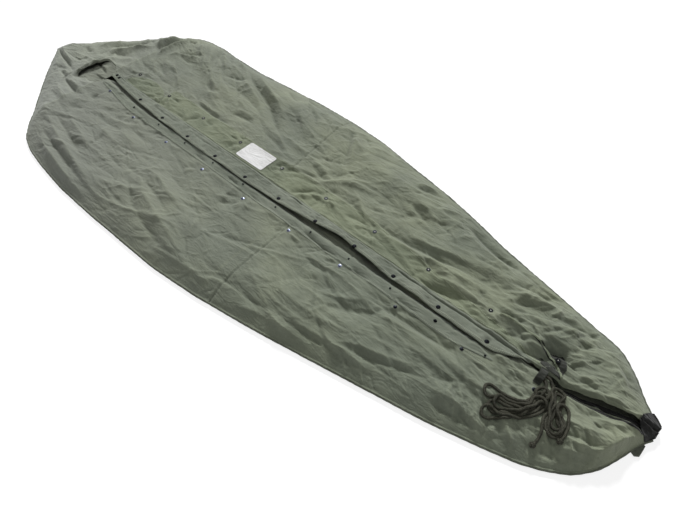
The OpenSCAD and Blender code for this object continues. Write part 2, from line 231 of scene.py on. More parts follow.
def cloth_material(name, main, light, dark, weave=0.9, rib=0.0, rough=0.86, grey=None):
    """Plain-woven, washed cotton: yarns both ways, slubs, broad uneven dye, lighter ridges, painted shade in the
    hollows.
    weave is the yarn spacing in mm; rib adds raised lines across the length, their spacing in mm."""
    n = Nodes(name)
    pos = n.add("ShaderNodeTexCoord").outputs["Object"]
    sep = n.add("ShaderNodeSeparateXYZ")
    n.link(pos, sep.inputs[0])
    x, y = sep.outputs["X"], sep.outputs["Y"]
    # yarns
    k = 2 * math.pi / (weave * MM)
    wob = n.math("MULTIPLY", n.noise(pos, 60, 2), 0.0016)
    sx = n.math("SINE", n.math("MULTIPLY", n.math("ADD", x, wob), k))
    sy = n.math("SINE", n.math("MULTIPLY", n.math("ADD", y, wob), k))
    yarn = n.math("MULTIPLY", sx, sy)
    slub = n.noise(n.stretch(pos, (900, 60, 200)), 1.0, 3, 0.6)
    slub2 = n.noise(n.stretch(pos, (60, 900, 200)), 1.0, 3, 0.6)
    crumple = n.noise(pos, 30, 3, 0.5, 0.8)
    crease = n.noise(n.stretch(pos, (42, 12, 20)), 1.0, 5, 0.6, 1.2)
    # colour
    broad = n.remap(n.noise(pos, 3.1, 4, 0.55), 0.34, 0.68, smooth=True)
    mott = n.remap(n.noise(pos, 19, 5, 0.65), 0.32, 0.70, smooth=True)
    col = n.mix(broad, main, light)
    col = n.mix(n.math("MULTIPLY", n.math("SUBTRACT", 1.0, mott), 0.35), col, dark)
    if grey:
        up = n.remap(y, -0.55, 0.75, smooth=True)
        left = n.remap(x, 0.28, -0.30, 0.25, 1.0, smooth=True)
        col = n.mix(n.math("MULTIPLY", n.math("MULTIPLY", up, left), 0.85), col, grey)
    fleck = n.remap(n.math("ADD", slub, slub2), 0.78, 1.24, -0.5, 0.5)
    col2 = n.mix(n.math("MULTIPLY", n.math("ABSOLUTE", fleck), 0.16), col, dark)
    # yarn crests a little lighter: painted highlight of the weave
    fine = n.remap(yarn, -1, 1, 0.0, 0.10)
    col2 = n.mix(fine, col2, light)
    # high folds lighter; hollows darker: painted shade
    geo = n.add("ShaderNodeNewGeometry")
    point = n.remap(geo.outputs["Pointiness"], 0.47, 0.53, -1.0, 1.0)
    col2 = n.mix(n.math("MULTIPLY", n.math("MAXIMUM", point, 0.0), 0.16), col2, light)
    col2 = n.mix(n.math("MULTIPLY", n.math("MAXIMUM", n.math("MULTIPLY", point, -1.0), 0.0), 0.26), col2, dark)
    n.link(col2, n.bsdf.inputs["Base Color"])
    r = n.remap(n.noise(pos, 90, 3), 0.3, 0.7, rough - 0.05, rough + 0.06)
    n.link(r, n.bsdf.inputs["Roughness"])
    n.bsdf.inputs["Specular IOR Level"].default_value = 0.22
    n.bsdf.inputs["Sheen Weight"].default_value = 0.10
    n.bsdf.inputs["Sheen Roughness"].default_value = 0.55
    h = n.math("MULTIPLY", yarn, 0.30)
    h = n.math("ADD", h, n.math("MULTIPLY", n.math("ADD", slub, slub2), 0.55))
    nor = n.bump(h, 0.35, 0.0003)
    nor = n.bump(crumple, 0.35, 0.0040, nor)
    nor = n.bump(crease, 0.30, 0.0070, nor)
    sharp = n.math("ABSOLUTE", n.math("SUBTRACT", n.noise(n.stretch(pos, (30, 11, 18), (0, 0, 0.35)), 1.0, 3, 0.55, 1.6), 0.5))
    sharp2 = n.math("ABSOLUTE", n.math("SUBTRACT", n.noise(n.stretch(pos, (58, 24, 30), (0, 0, -0.5)), 1.0, 2, 0.5, 1.2), 0.5))
    nor = n.bump(n.math("MINIMUM", n.math("MULTIPLY", sharp, 5.0), 1.0), 0.45, 0.0022, nor)
    nor = n.bump(n.math("MINIMUM", n.math("MULTIPLY", sharp2, 5.0), 1.0), 0.40, 0.0012, nor)
    if rib:
        kr = 2 * math.pi / (rib * MM)
        rb = n.math("SINE", n.math("MULTIPLY", n.math("ADD", y, n.math("MULTIPLY", n.noise(pos, 25, 2), 0.006)), kr))
        nor = n.bump(rb, 0.30, 0.0009, nor)
    n.link(nor, n.bsdf.inputs["Normal"])
    return n.mat


def tape_material(name, main, light, dark, pitch=1.6):
    """Narrow woven tape with a slanting rib."""
    n = Nodes(name)
    pos = n.add("ShaderNodeTexCoord").outputs["Object"]
    sep = n.add("ShaderNodeSeparateXYZ")
    n.link(pos, sep.inputs[0])
    k = 2 * math.pi / (pitch * MM)
    a = n.math("SINE", n.math("MULTIPLY", n.math("ADD", sep.outputs["X"], sep.outputs["Y"]), k))
    b = n.math("SINE", n.math("MULTIPLY", n.math("SUBTRACT", sep.outputs["Y"], sep.outputs["X"]), k * 0.5))
    rib = n.math("ADD", n.math("MULTIPLY", a, 0.7), n.math("MULTIPLY", b, 0.3))
    blot = n.remap(n.noise(pos, 24, 5, 0.6), 0.32, 0.68, smooth=True)
    col = n.mix(blot, main, light)
    # the rib's grooves darker: painted shade of the rib
    col = n.mix(n.remap(rib, -1, 1, 0.45, 0.0), col, dark)
    n.link(col, n.bsdf.inputs["Base Color"])
    n.bsdf.inputs["Roughness"].default_value = 0.82
    n.bsdf.inputs["Specular IOR Level"].default_value = 0.2
    nor = n.bump(rib, 0.5, 0.0004)
    nor = n.bump(n.noise(pos, 140, 4), 0.3, 0.0008, nor)
    n.link(nor, n.bsdf.inputs["Normal"])
    return n.mat


def thread_material(name, main, light):
    """Twisted sewing thread: a rib along each stitch."""
    n = Nodes(name)
    pos = n.add("ShaderNodeTexCoord").outputs["Object"]
    tw = n.noise(n.stretch(pos, (2600, 2600, 2600)), 1.0, 2)
    var = n.remap(n.noise(pos, 130, 3), 0.35, 0.65)
    n.link(n.mix(var, main, light), n.bsdf.inputs["Base Color"])
    n.bsdf.inputs["Roughness"].default_value = 0.6
    n.link(n.bump(tw, 0.5, 0.0002), n.bsdf.inputs["Normal"])
    return n.mat


def cord_material(name):
    """Braided olive cord: two crossing sets of strands, from the piece's own UV (turns, lengths)."""
    n = Nodes(name)
    uv = n.add("ShaderNodeTexCoord").outputs["UV"]
    sep = n.add("ShaderNodeSeparateXYZ")
    n.link(uv, sep.inputs[0])
    u, v = sep.outputs["X"], sep.outputs["Y"]
    p = n.math("MULTIPLY", n.math("ADD", n.math("MULTIPLY", u, 4.0), v), 2 * math.pi)
    q = n.math("MULTIPLY", n.math("SUBTRACT", n.math("MULTIPLY", u, 4.0), v), 2 * math.pi)
    a, b = n.math("SINE", p), n.math("SINE", q)
    braid = n.math("MAXIMUM", a, b)
    pos = n.add("ShaderNodeTexCoord").outputs["Object"]
    fuzz = n.noise(pos, 420, 4, 0.6)
    # strand crests lighter, grooves between them darker: painted shade of the braid
    col = n.mix(n.remap(braid, -0.4, 1.0, 0.0, 1.0), srgb("#14140d"), srgb("#333327"))
    col = n.mix(n.remap(fuzz, 0.42, 0.75, 0.0, 0.55), col, srgb("#57564a"))
    n.link(col, n.bsdf.inputs["Base Color"])
    n.bsdf.inputs["Roughness"].default_value = 0.74
    n.bsdf.inputs["Specular IOR Level"].default_value = 0.3
    nor = n.bump(braid, 0.8, 0.0006)
    nor = n.bump(fuzz, 0.35, 0.0004, nor)
    n.link(nor, n.bsdf.inputs["Normal"])
    return n.mat


def metal_material(name, base, worn, rough, wear=0.5, metallic=1.0):
    """Blackened or bare brass: worn edges, small pits and scuffs."""
    n = Nodes(name)
    pos = n.add("ShaderNodeTexCoord").outputs["Object"]
    scuff = n.noise(n.stretch(pos, (900, 240, 900)), 1.0, 5, 0.7)
    pits = n.noise(pos, 1500, 3, 0.6)
    geo = n.add("ShaderNodeNewGeometry")
    edge = n.remap(geo.outputs["Pointiness"], 0.50, 0.60, 0.0, 1.0)
    w = n.math("MULTIPLY", n.math("ADD", edge, n.remap(scuff, 0.52, 0.72)), wear)
    n.link(n.mix(n.math("MINIMUM", w, 1.0), base, worn), n.bsdf.inputs["Base Color"])
    n.bsdf.inputs["Metallic"].default_value = metallic
    n.link(n.remap(scuff, 0.3, 0.7, rough - 0.08, rough + 0.14), n.bsdf.inputs["Roughness"])
    n.link(n.bump(pits, 0.25, 0.0002), n.bsdf.inputs["Normal"])
    return n.mat


M = {
    "front": cloth_material("front_cloth", dyed("#7a8071"), dyed("#8f947c"), dyed("#51564a"), 0.9, grey=dyed("#85877f")),
    # the hood is the front's cloth set at a higher value: painted light on the brighter head end
    "hood": cloth_material("hood_cloth_painted_light", dyed("#808478", 0.84), dyed("#959a84", 0.84), dyed("#5a5e51"), 0.9, grey=dyed("#888a84", 0.84)),
    "back": cloth_material("back_cloth", dyed("#6c7062"), dyed("#7b7f70"), dyed("#4a4d43"), 0.9),
    "facing": cloth_material("facing_cloth", dyed("#777e6a"), dyed("#898f76"), dyed("#555c4a"), 0.8),
    "fly": cloth_material("fly_cloth", dyed("#787e70"), dyed("#8e9384"), dyed("#52574b"), 0.8, rib=3.2),
    "under": cloth_material("under_cloth", dyed("#5f6358"), dyed("#70746a"), dyed("#44483f"), 0.8),
    # near-black cloth for sheets laid where there is only shade: painted shade
    "painted_shade_dark": cloth_material("painted_shade_dark_cloth", dyed("#2c2e28"), dyed("#3b3d36"), dyed("#191a16"), 0.8),
    "lining": cloth_material("lining_cloth", dyed("#7b7f73"), dyed("#8c8f7f"), dyed("#50544a"), 0.9),
    # black cloth for the foot tip and the slit: painted shade
    "black": cloth_material("black_cloth", dyed("#090a08"), dyed("#11120f"), dyed("#050504"), 0.8, rough=0.74),
    "label": cloth_material("label_cloth", dyed("#dad8d8", 0.86), dyed("#e6e4e4", 0.88), dyed("#b5b2b0", 0.8), 0.5, rough=0.7),
    "tape": tape_material("tape_weave", dyed("#666a5b"), dyed("#777b6c"), dyed("#44473d")),
    "tab": tape_material("tab_weave", dyed("#5f6257"), dyed("#72756a"), dyed("#3c3f36"), 2.2),
    "thread": thread_material("seam_thread", dyed("#9a9d88", 0.85), dyed("#b0b39c", 0.85)),
    "thread_dark": thread_material("dark_thread", dyed("#3f4238"), dyed("#55584d")),
    "cord": cord_material("cord_braid"),
    "brass": metal_material("blackened_brass", srgb("#0d0e11"), srgb("#2b2c2e"), 0.42, 0.35),
    "worn": metal_material("worn_brass", srgb("#4a4e60"), srgb("#a9aec4"), 0.34, 0.6),
    "ring": metal_material("ring_brass", srgb("#15161a"), srgb("#55585c"), 0.36, 0.4),
    "nickel": metal_material("bare_nickel", srgb("#b9b8b0"), srgb("#f0efe8"), 0.26, 0.6),
}


# ------------------------------------------------------------------ the sewn outline, in mm
STATIONS = [
    (1116, 18, 8), (1094, 36, 34), (1034, 92, 94), (980, 140, 156), (940, 172, 190), (880, 220, 262),
    (820, 268, 332), (770, 312, 374), (720, 346, 386), (650, 368, 390), (560, 380, 380), (430, 390, 374),
    (290, 390, 380), (140, 386, 386), (0, 382, 384), (-150, 364, 370), (-280, 341, 342), (-400, 317, 322),
    (-520, 291, 292), (-640, 265, 256), (-760, 239, 230), (-870, 208, 204), (-940, 186, 188),
    (-980, 166, 180), (-1020, 141, 152), (-1051, 106, 120), (-1070, 72, 98), (-1088, 20, 82),
    (-1104, -14, 74), (-1116, -32, 62)]
TAB_L = [(s[0], -s[1]) for s in STATIONS]
TAB_R = [(s[0], s[2]) for s in STATIONS]
Y1, Y0 = 1116.0, -1116.0


def xl(y):
    r = np.clip((1116 - np.abs(y)) * 0.5, 1, 16)
    return smooth_lut(y, TAB_L, r)


def xr(y):
    r = np.clip((1116 - np.abs(y)) * 0.5, 1, 16)
    return smooth_lut(y, TAB_R, r)


def fold_r(y):
    return 50 + 0.13 * (y + 630)


def fold_l(y):
    return -55 - 0.115 * (y + 700)


NECK, FOOT, LFOOT, PATCH = 770.0, -925.0, -785.0, -1070.0
FLY_T = [(-840, -26), (-762, -26), (-628, -24), (-495, -25), (-358, -17), (-228, -22), (-99, -29), (30, -34), (157, -34),
         (289, -33), (426, -30), (569, -20), (745, -14)]


def fly_cap(y):
    return lut(y, FLY_T)


def fly_edge(y):
    return smooth_lut(y, FLY_T, 24) - 13.5


SNAP_F = [(fly_cap(560 - 131 * i), 560 - 131 * i) for i in range(11)]
SNAP_S = [(-55.0, 545 - 131 * i) for i in range(11)]
_LT = [(-882, -52), (-718, -74), (-543, -86), (-368, -84), (-193, -88), (0, -92), (160, -92), (507, -86), (600, -86), (682, -57)]
SNAP_L = [(float(lut(y, _LT)), y) for y in [682 - 175 * j + (11 if j == 9 else 0) for j in range(10)]]
_RT = [(-890, 40), (-713, 52), (-538, 50), (-363, 56), (-13, 62), (160, 58), (512, 56), (687, 64)]
SNAP_R = [(float(lut(y, _RT)), y) for y in [687 - 175 * j for j in range(10)]]

# ------------------------------------------------------------------ the front as it lies: a relaxed cloth
# Folds drawn as lines: height, half width on the left and on the right of the line, points (x, y) in mm.
FOLDS = [
    # left front, upper field
    (11, 42, 20, [(-200, 330), (-226, 262), (-262, 190), (-288, 90), (-306, 0), (-330, -90)]),
    (-7, 16, 24, [(-242, 318), (-262, 262), (-300, 196), (-324, 100), (-338, 10), (-348, -60)]),
    (6, 20, 12, [(-118, 322), (-160, 282), (-192, 226), (-214, 150), (-226, 60)]),
    (-4, 8, 12, [(-140, 296), (-176, 256), (-206, 206), (-222, 160)]),
    (9, 16, 11, [(-318, 700), (-334, 610), (-352, 500), (-364, 400), (-370, 300)]),
    (-7, 9, 12, [(-296, 706), (-312, 610), (-330, 500), (-344, 390), (-350, 330)]),
    (8, 16, 12, [(-262, 712), (-286, 610), (-306, 500), (-322, 410)]),
    (-6, 9, 11, [(-236, 706), (-256, 620), (-276, 530), (-290, 460)]),
    (5, 14, 11, [(-206, 690), (-226, 610), (-240, 540), (-256, 470)]),
    (4, 10, 8, [(-176, 560), (-188, 480), (-192, 400)]),
    (-4, 6, 8, [(-232, 440), (-236, 380), (-244, 320)]),
    (3.5, 9, 7, [(-140, 500), (-152, 430), (-160, 380)]),
    (-3.5, 6, 6, [(-118, 470), (-124, 400), (-118, 330)]),
    (4, 10, 8, [(-210, 300), (-196, 240), (-206, 170)]),
    (-3.5, 6, 7, [(-158, 230), (-168, 180), (-176, 130), (-160, 110)]),
    (-4, 6, 8, [(-206, 120), (-206, 60), (-200, 10)]),
    (-5, 7, 9, [(-146, 26), (-122, -6), (-104, -26)]),
    (4, 9, 7, [(-134, 46), (-112, 10)]),
    (-3, 6, 7, [(-360, 110), (-352, 50), (-350, 0)]),
    # left front, lower field
    (-4.5, 7, 10, [(-292, -60), (-296, -180), (-292, -270), (-280, -340), (-262, -400)]),
    (5, 12, 8, [(-268, -330), (-262, -420), (-244, -520), (-240, -600)]),
    (-4.5, 7, 8, [(-280, -350), (-272, -430), (-254, -530), (-250, -600), (-234, -650)]),
    (-6, 18, 14, [(-206, -372), (-178, -440), (-140, -500), (-112, -560)]),
    (5.5, 16, 12, [(-180, -372), (-146, -440), (-116, -482)]),
    (-4, 6, 8, [(-208, -380), (-208, -460), (-202, -530)]),
    (4, 9, 7, [(-232, -480), (-212, -560), (-184, -640), (-160, -700)]),
    (-4, 6, 7, [(-244, -490), (-226, -566), (-198, -650), (-170, -720)]),
    (-4.5, 6, 8, [(-118, -270), (-124, -320), (-118, -370), (-126, -400)]),
    (4, 9, 6, [(-108, -260), (-112, -330), (-106, -400)]),
    (-9, 9, 11, [(-106, -462), (-104, -520), (-100, -580), (-96, -640), (-92, -700), (-92, -744)]),
    (7, 14, 8, [(-128, -500), (-122, -570), (-112, -640), (-106, -700)]),
    (4, 12, 9, [(-298, -460), (-284, -560), (-256, -660), (-240, -740)]),
    (-4, 7, 7, [(-286, -480), (-268, -570), (-242, -660)]),
    (-7, 10, 12, [(-214, -724), (-206, -772), (-198, -820), (-190, -856)]),
    (6, 14, 9, [(-190, -700), (-182, -770), (-176, -830)]),
    (-4, 7, 9, [(-170, -700), (-150, -740), (-130, -770)]),
    (-5, 7, 8, [(-84, -838), (-80, -868), (-72, -892)]),
    (4, 9, 7, [(-96, -846), (-92, -880)]),
    (-4, 7, 7, [(-60, -770), (-66, -820), (-62, -858)]),
    # left foot
    (-8, 7, 10, [(-92, -952), (-84, -992), (-74, -1034), (-62, -1056)]),
    (7, 12, 8, [(-70, -950), (-60, -1000), (-46, -1036)]),
    (5, 12, 9, [(-126, -960), (-112, -1000), (-96, -1030)]),
    (-5, 7, 9, [(-152, -950), (-138, -986), (-134, -1010)]),
    (5, 10, 8, [(-172, -940), (-158, -976), (-146, -1000)]),
    (-5, 8, 8, [(-40, -1004), (-30, -1030), (-34, -1050)]),
    (6, 10, 8, [(-22, -1000), (-14, -1036), (6, -1064)]),
    (-7, 12, 20, [(-46, -952), (-24, -992), (-2, -1030), (18, -1062)]),
    # right front, upper field
    (-13, 11, 13, [(336, 452), (326, 418), (304, 386), (284, 340), (266, 292), (248, 246), (226, 206), (200, 166), (176, 126), (152, 70)]),
    (11, 14, 26, [(352, 440), (338, 388), (312, 330), (290, 280), (268, 226), (244, 180), (214, 136), (184, 80)]),
    (6, 16, 10, [(278, 420), (262, 350), (238, 286), (214, 240)]),
    (-6, 8, 10, [(256, 480), (268, 430), (276, 404), (300, 392)]),
    (6, 11, 10, [(362, 660), (310, 610), (262, 560), (210, 520)]),
    (-5, 8, 8, [(368, 640), (330, 600), (286, 556), (230, 512)]),
    (6, 11, 10, [(374, 612), (336, 566), (296, 520), (262, 470)]),
    (-5, 8, 8, [(372, 580), (340, 540), (304, 490)]),
    (5, 10, 10, [(372, 556), (350, 500), (330, 450)]),
    (7, 12, 10, [(196, 724), (230, 698), (250, 650), (262, 606)]),
    (-6, 10, 9, [(222, 716), (246, 684), (268, 640), (276, 596)]),
    (7, 12, 10, [(262, 604), (286, 634), (320, 676), (336, 706)]),
    (-5, 8, 9, [(150, 700), (130, 650), (112, 610)]),
    (5, 12, 9, [(172, 700), (164, 640), (146, 590)]),
    (4, 10, 9, [(118, 660), (104, 620), (96, 570)]),
    (-4, 7, 8, [(230, 700), (222, 650), (228, 600)]),
    (-6, 6, 9, [(126, 480), (112, 440), (94, 396), (88, 330), (90, 262), (92, 240)]),
    (5, 9, 9, [(112, 470), (104, 410), (102, 350), (104, 280)]),
    (-4, 7, 8, [(184, 486), (172, 446), (166, 420)]),
    (4, 9, 8, [(206, 490), (190, 440), (176, 400)]),
    (4, 9, 8, [(150, 440), (160, 400), (146, 370)]),
    (-5, 7, 8, [(132, 300), (142, 260), (146, 220), (140, 190)]),
    (4, 9, 8, [(156, 300), (162, 250), (160, 206)]),
    (-4, 6, 8, [(140, 150), (132, 110), (122, 60), (104, 20)]),
    (4, 9, 8, [(170, 130), (150, 90), (128, 40), (112, 0)]),
    (4, 10, 10, [(300, 150), (262, 110), (222, 60), (190, 10)]),
    (-4, 8, 8, [(320, 120), (288, 70), (250, 30)]),
    (4, 10, 10, [(352, 180), (330, 120), (300, 70)]),
    (-4, 7, 7, [(340, 250), (322, 200), (306, 160)]),
    # right front, lower field
    (-6, 9, 8, [(352, -34), (318, -56), (270, -88), (220, -118), (172, -146)]),
    (5, 10, 10, [(346, -62), (290, -92), (236, -124), (190, -152)]),
    (-6, 7, 8, [(4, -92), (28, -108), (50, -134), (70, -152)]),
    (5, 9, 8, [(2, -112), (24, -130), (44, -156)]),
    (-4, 7, 7, [(134, -60), (118, -100), (110, -140)]),
    (4, 9, 8, [(156, -50), (140, -100), (124, -146)]),
    (4, 9, 8, [(300, -70), (286, -110), (262, -150)]),
    (-4, 7, 7, [(344, -90), (320, -120), (296, -150)]),
    (-4, 7, 8, [(120, -154), (142, -156), (164, -154)]),
    (-5, 6, 8, [(46, -262), (58, -290), (62, -320), (54, -340)]),
    (5, 10, 8, [(136, -220), (112, -262), (84, -300), (66, -340)]),
    (-8, 8, 9, [(82, -330), (82, -400), (88, -470), (96, -540), (106, -600), (114, -650), (110, -700)]),
    (7, 12, 8, [(60, -380), (68, -460), (76, -540), (84, -610), (92, -680)]),
    (7, 9, 13, [(104, -420), (112, -500), (126, -560), (136, -620)]),
    (-11, 14, 12, [(10, -520), (16, -560), (24, -600), (30, -640), (24, -690)]),
    (6, 8, 12, [(42, -540), (52, -600), (56, -660), (48, -720)]),
    (-6, 8, 9, [(198, -372), (184, -420), (164, -466)]),
    (6, 10, 9, [(214, -380), (204, -430), (186, -480)]),
    (-6, 8, 8, [(256, -338), (270, -370), (284, -404), (282, -430)]),
    (6, 10, 9, [(272, -330), (290, -366), (300, -400)]),
    (-5, 7, 8, [(196, -450), (188, -490), (180, -520)]),
    (6, 9, 9, [(226, -430), (244, -460), (266, -500)]),
    (5, 10, 9, [(180, -530), (210, -560), (226, -600)]),
    (-13, 16, 12, [(244, -524), (234, -570), (222, -620), (214, -670), (208, -712)]),
    (8, 16, 10, [(206, -540), (196, -600), (186, -660), (180, -710)]),
    (-9, 14, 12, [(140, -690), (160, -724), (178, -766), (188, -806), (190, -846)]),
    (7, 12, 12, [(120, -700), (138, -746), (154, -800), (162, -860)]),
    (-7, 10, 10, [(118, -792), (134, -828), (150, -874), (160, -920), (152, -956)]),
    (6, 12, 9, [(92, -790), (110, -840), (126, -890), (134, -930)]),
    (-9, 7, 9, [(70, -738), (72, -770), (76, -796)]),
    (6, 9, 8, [(56, -736), (60, -780), (62, -810)]),
    (-6, 7, 8, [(98, -900), (112, -920), (128, -936)]),
    (-6, 7, 8, [(78, -920), (90, -946), (102, -966)]),
    (6, 9, 8, [(92, -900), (104, -930), (118, -958)]),
    (5, 10, 9, [(110, -980), (96, -1010), (80, -1030)]),
    (-5, 8, 8, [(128, -990), (112, -1016), (100, -1034)]),
    (-14, 12, 14, [(52, -836), (58, -866), (66, -890), (56, -916), (42, -940), (36, -956)]),
    (8, 9, 9, [(24, -960), (30, -1000), (40, -1040)]),
    (12, 8, 30, [(-100, -950), (-95, -1002), (-78, -1038), (-48, -1055), (-14, -1069), (8, -1088)]),
    # hood
    (-10, 4, 8, [(-20, 1104), (-34, 1062), (-48, 1010), (-60, 950), (-70, 905), (-80, 862)]),
    (5, 14, 7, [(-8, 1090), (-24, 1040), (-38, 985), (-48, 930)]),
    (4, 12, 10, [(-66, 1030), (-84, 980), (-92, 940)]),
    (-4, 7, 9, [(-96, 960), (-90, 930), (-82, 908)]),
    (-8, 4, 6, [(-112, 880), (-122, 846), (-130, 800), (-136, 760), (-134, 728)]),
    (5, 9, 8, [(-110, 846), (-112, 806), (-112, 770)]),
    (-7, 5, 6, [(-98, 930), (-106, 895), (-116, 850)]),
    (5, 12, 10, [(-150, 850), (-170, 790), (-176, 740)]),
    (4, 18, 14, [(-226, 800), (-246, 752), (-262, 712)]),
    (-5, 10, 10, [(-188, 716), (-176, 690), (-164, 660)]),
    (-5, 8, 8, [(-106, 712), (-112, 690), (-100, 676)]),
    (-9, 18, 14, [(72, 918), (112, 904), (160, 880), (206, 852), (250, 814)]),
    (9, 16, 14, [(62, 896), (100, 872), (148, 836), (196, 806)]),
    (6, 14, 14, [(60, 950), (110, 936), (150, 906)]),
    (-6, 14, 14, [(76, 872), (96, 836), (110, 800)]),
    (6, 12, 12, [(140, 846), (176, 816), (206, 796)]),
    (-5, 8, 8, [(40, 1000), (30, 960), (34, 930)]),
    (-16, 13, 14, [(176, 764), (214, 776), (258, 780), (300, 778), (334, 764), (352, 738)]),
    (9, 13, 12, [(170, 742), (214, 756), (256, 754), (300, 742), (330, 722)]),
    (10, 14, 12, [(190, 800), (244, 806), (290, 800), (330, 788)]),
    (-10, 12, 10, [(306, 742), (320, 728), (330, 716)]),
]


SOFT_ROLLS = [
    (7, 30, [(-150, 330), (-196, 230), (-222, 120), (-250, 0), (-262, -120)]), (-5, 26, [(-110, 300), (-150, 200), (-176, 100), (-196, 0), (-210, -120)]),
    (6, 24, [(-300, 640), (-318, 520), (-330, 400), (-346, 260)]), (-4, 22, [(-262, 620), (-284, 500), (-300, 380)]),
    (5, 26, [(-230, -180), (-226, -320), (-206, -460), (-190, -600)]), (-5, 24, [(-176, -200), (-168, -330), (-150, -460), (-130, -600)]),
    (6, 26, [(290, 700), (262, 600), (226, 500), (190, 380), (160, 260)]), (-5, 24, [(240, 690), (214, 590), (180, 480), (140, 360)]),
    (6, 26, [(330, 250), (290, 150), (240, 50), (200, -60)]), (-5, 24, [(280, 260), (236, 150), (196, 60)]),
    (6, 24, [(260, -120), (240, -240), (226, -360), (214, -480)]), (-6, 22, [(190, -140), (170, -260), (150, -380), (134, -500)]),
    (6, 22, [(150, -520), (150, -640), (158, -760), (150, -860)]), (-6, 20, [(110, -560), (120, -680), (122, -800), (110, -890)]),
    (5, 22, [(-130, -600), (-124, -700), (-112, -800)]), (-5, 20, [(-170, -620), (-156, -720), (-140, -800)]),
]


def fold_height(x, y, lines, power=1.5):
    """Sum of the drawn folds: each is steepest near its line and fades at both ends."""
    z = np.zeros_like(x)
    for amp, wl, wr, pts in lines:
        p = np.array(pts, float)
        seg = np.linalg.norm(np.diff(p, axis=0), axis=1)
        total = seg.sum()
        lo, hi = p.min(0) - 3.2 * max(wl, wr), p.max(0) + 3.2 * max(wl, wr)
        box = (x > lo[0]) & (x < hi[0]) & (y > lo[1]) & (y < hi[1])
        if not box.any():
            continue
        bx, by = x[box], y[box]
        best = np.full(bx.shape, 1e9)
        sign = np.zeros(bx.shape)
        along = np.zeros(bx.shape)
        run = 0.0
        for a, b, l in zip(p[:-1], p[1:], seg):
            t = np.clip(((bx - a[0]) * (b[0] - a[0]) + (by - a[1]) * (b[1] - a[1])) / (l * l), 0, 1)
            dx, dy = bx - (a[0] + t * (b[0] - a[0])), by - (a[1] + t * (b[1] - a[1]))
            d = np.hypot(dx, dy)
            cr = (b[0] - a[0]) * dy - (b[1] - a[1]) * dx
            near = d < best
            best[near] = d[near]
            sign[near] = np.sign(cr[near])
            along[near] = (run + t * l)[near]
            run += l
        # the lines run down the sack, so a positive cross product is on the line's right in the plan
        down = p[-1][1] < p[0][1] or abs(p[-1][1] - p[0][1]) < 30
        right = sign > 0 if down else sign < 0
        w = np.where(right, wr, wl)
        fade = sstep(along / (0.34 * total) + 0.04) * sstep((total - along) / (0.38 * total) + 0.04)
        fade = np.where((along <= 0) | (along >= total), 0, fade)
        u = best / (w * (0.38 + 0.62 * fade))
        z[box] += amp * fade * np.exp(-np.abs(u) ** power)
    return z


def random_folds(count, seed, area, angle, length, width, amp, spread=0.25):
    """Small folds strewn over an area; angle(x, y) is the way they run, from +X, in radians."""
    out = []
    rng = np.random.default_rng(seed)
    for _ in range(count):
        x, y = rng.uniform(area[0], area[1]), rng.uniform(area[2], area[3])
        a = angle(x, y) + rng.normal(0, spread)
        l = rng.uniform(*length)
        bend = rng.normal(0, 0.18)
        pts = []
        for s in (-0.5, -0.17, 0.17, 0.5):
            pts.append((x + s * l * math.cos(a + bend * s), y + s * l * math.sin(a + bend * s)))
        if pts[0][1] < pts[-1][1]:
            pts = pts[::-1]
        w = rng.uniform(*width)
        h = rng.uniform(*amp) * (1 if rng.random() < 0.55 else -1)
        out.append((h, w, w * rng.uniform(0.6, 1.3), pts))
    return out


NU, NV = 176, 470
_u = np.linspace(0, 1, NU)
_u = 0.5 + (_u - 0.5) * (1 + 0.10 * (1 - (2 * _u - 1) ** 2) * 0)  # even columns
_v = np.linspace(0, 1, NV)
VY = Y0 + 3 + (Y1 - Y0 - 6) * _v
GX = np.array([xl(y) + (xr(y) - xl(y)) * _u for y in VY])
GY = np.repeat(VY[:, None], NU, 1)


def side_drop(x, y):
    """Height of the smooth front over the floor, before folds: a soft bulge that turns down at the seam."""
    e = np.minimum(xr(y) - x, x - xl(y))
    head, foot = Y1 - y, y - Y0
    t = np.minimum(e / 125.0, np.minimum(head / 150.0, foot / 110.0))
    t = np.clip(t, 0, 1)
    low = 6.5
    return low + (41.5 - low) * (1 - (1 - t) ** 2.5) - 2.0 * np.clip(e / 300, 0, 1)


def lie_angle(x, y):
    """The way small folds run: along the sack, fanning from the shoulders and towards the foot's middle."""
    t = math.pi / 2
    if y > 350:
        t += (0.55 if x > 60 else -0.18) * min(1.0, (y - 350) / 300) * -1.0
    if x > 120 and 0 < y < 600:
        t -= 0.35
    if x < -120 and y < 350:
        t += -0.10 if y < -250 else 0.16
    if x > 120 and y < -50:
        t += 0.28 if y > -330 else 0.12
    return t


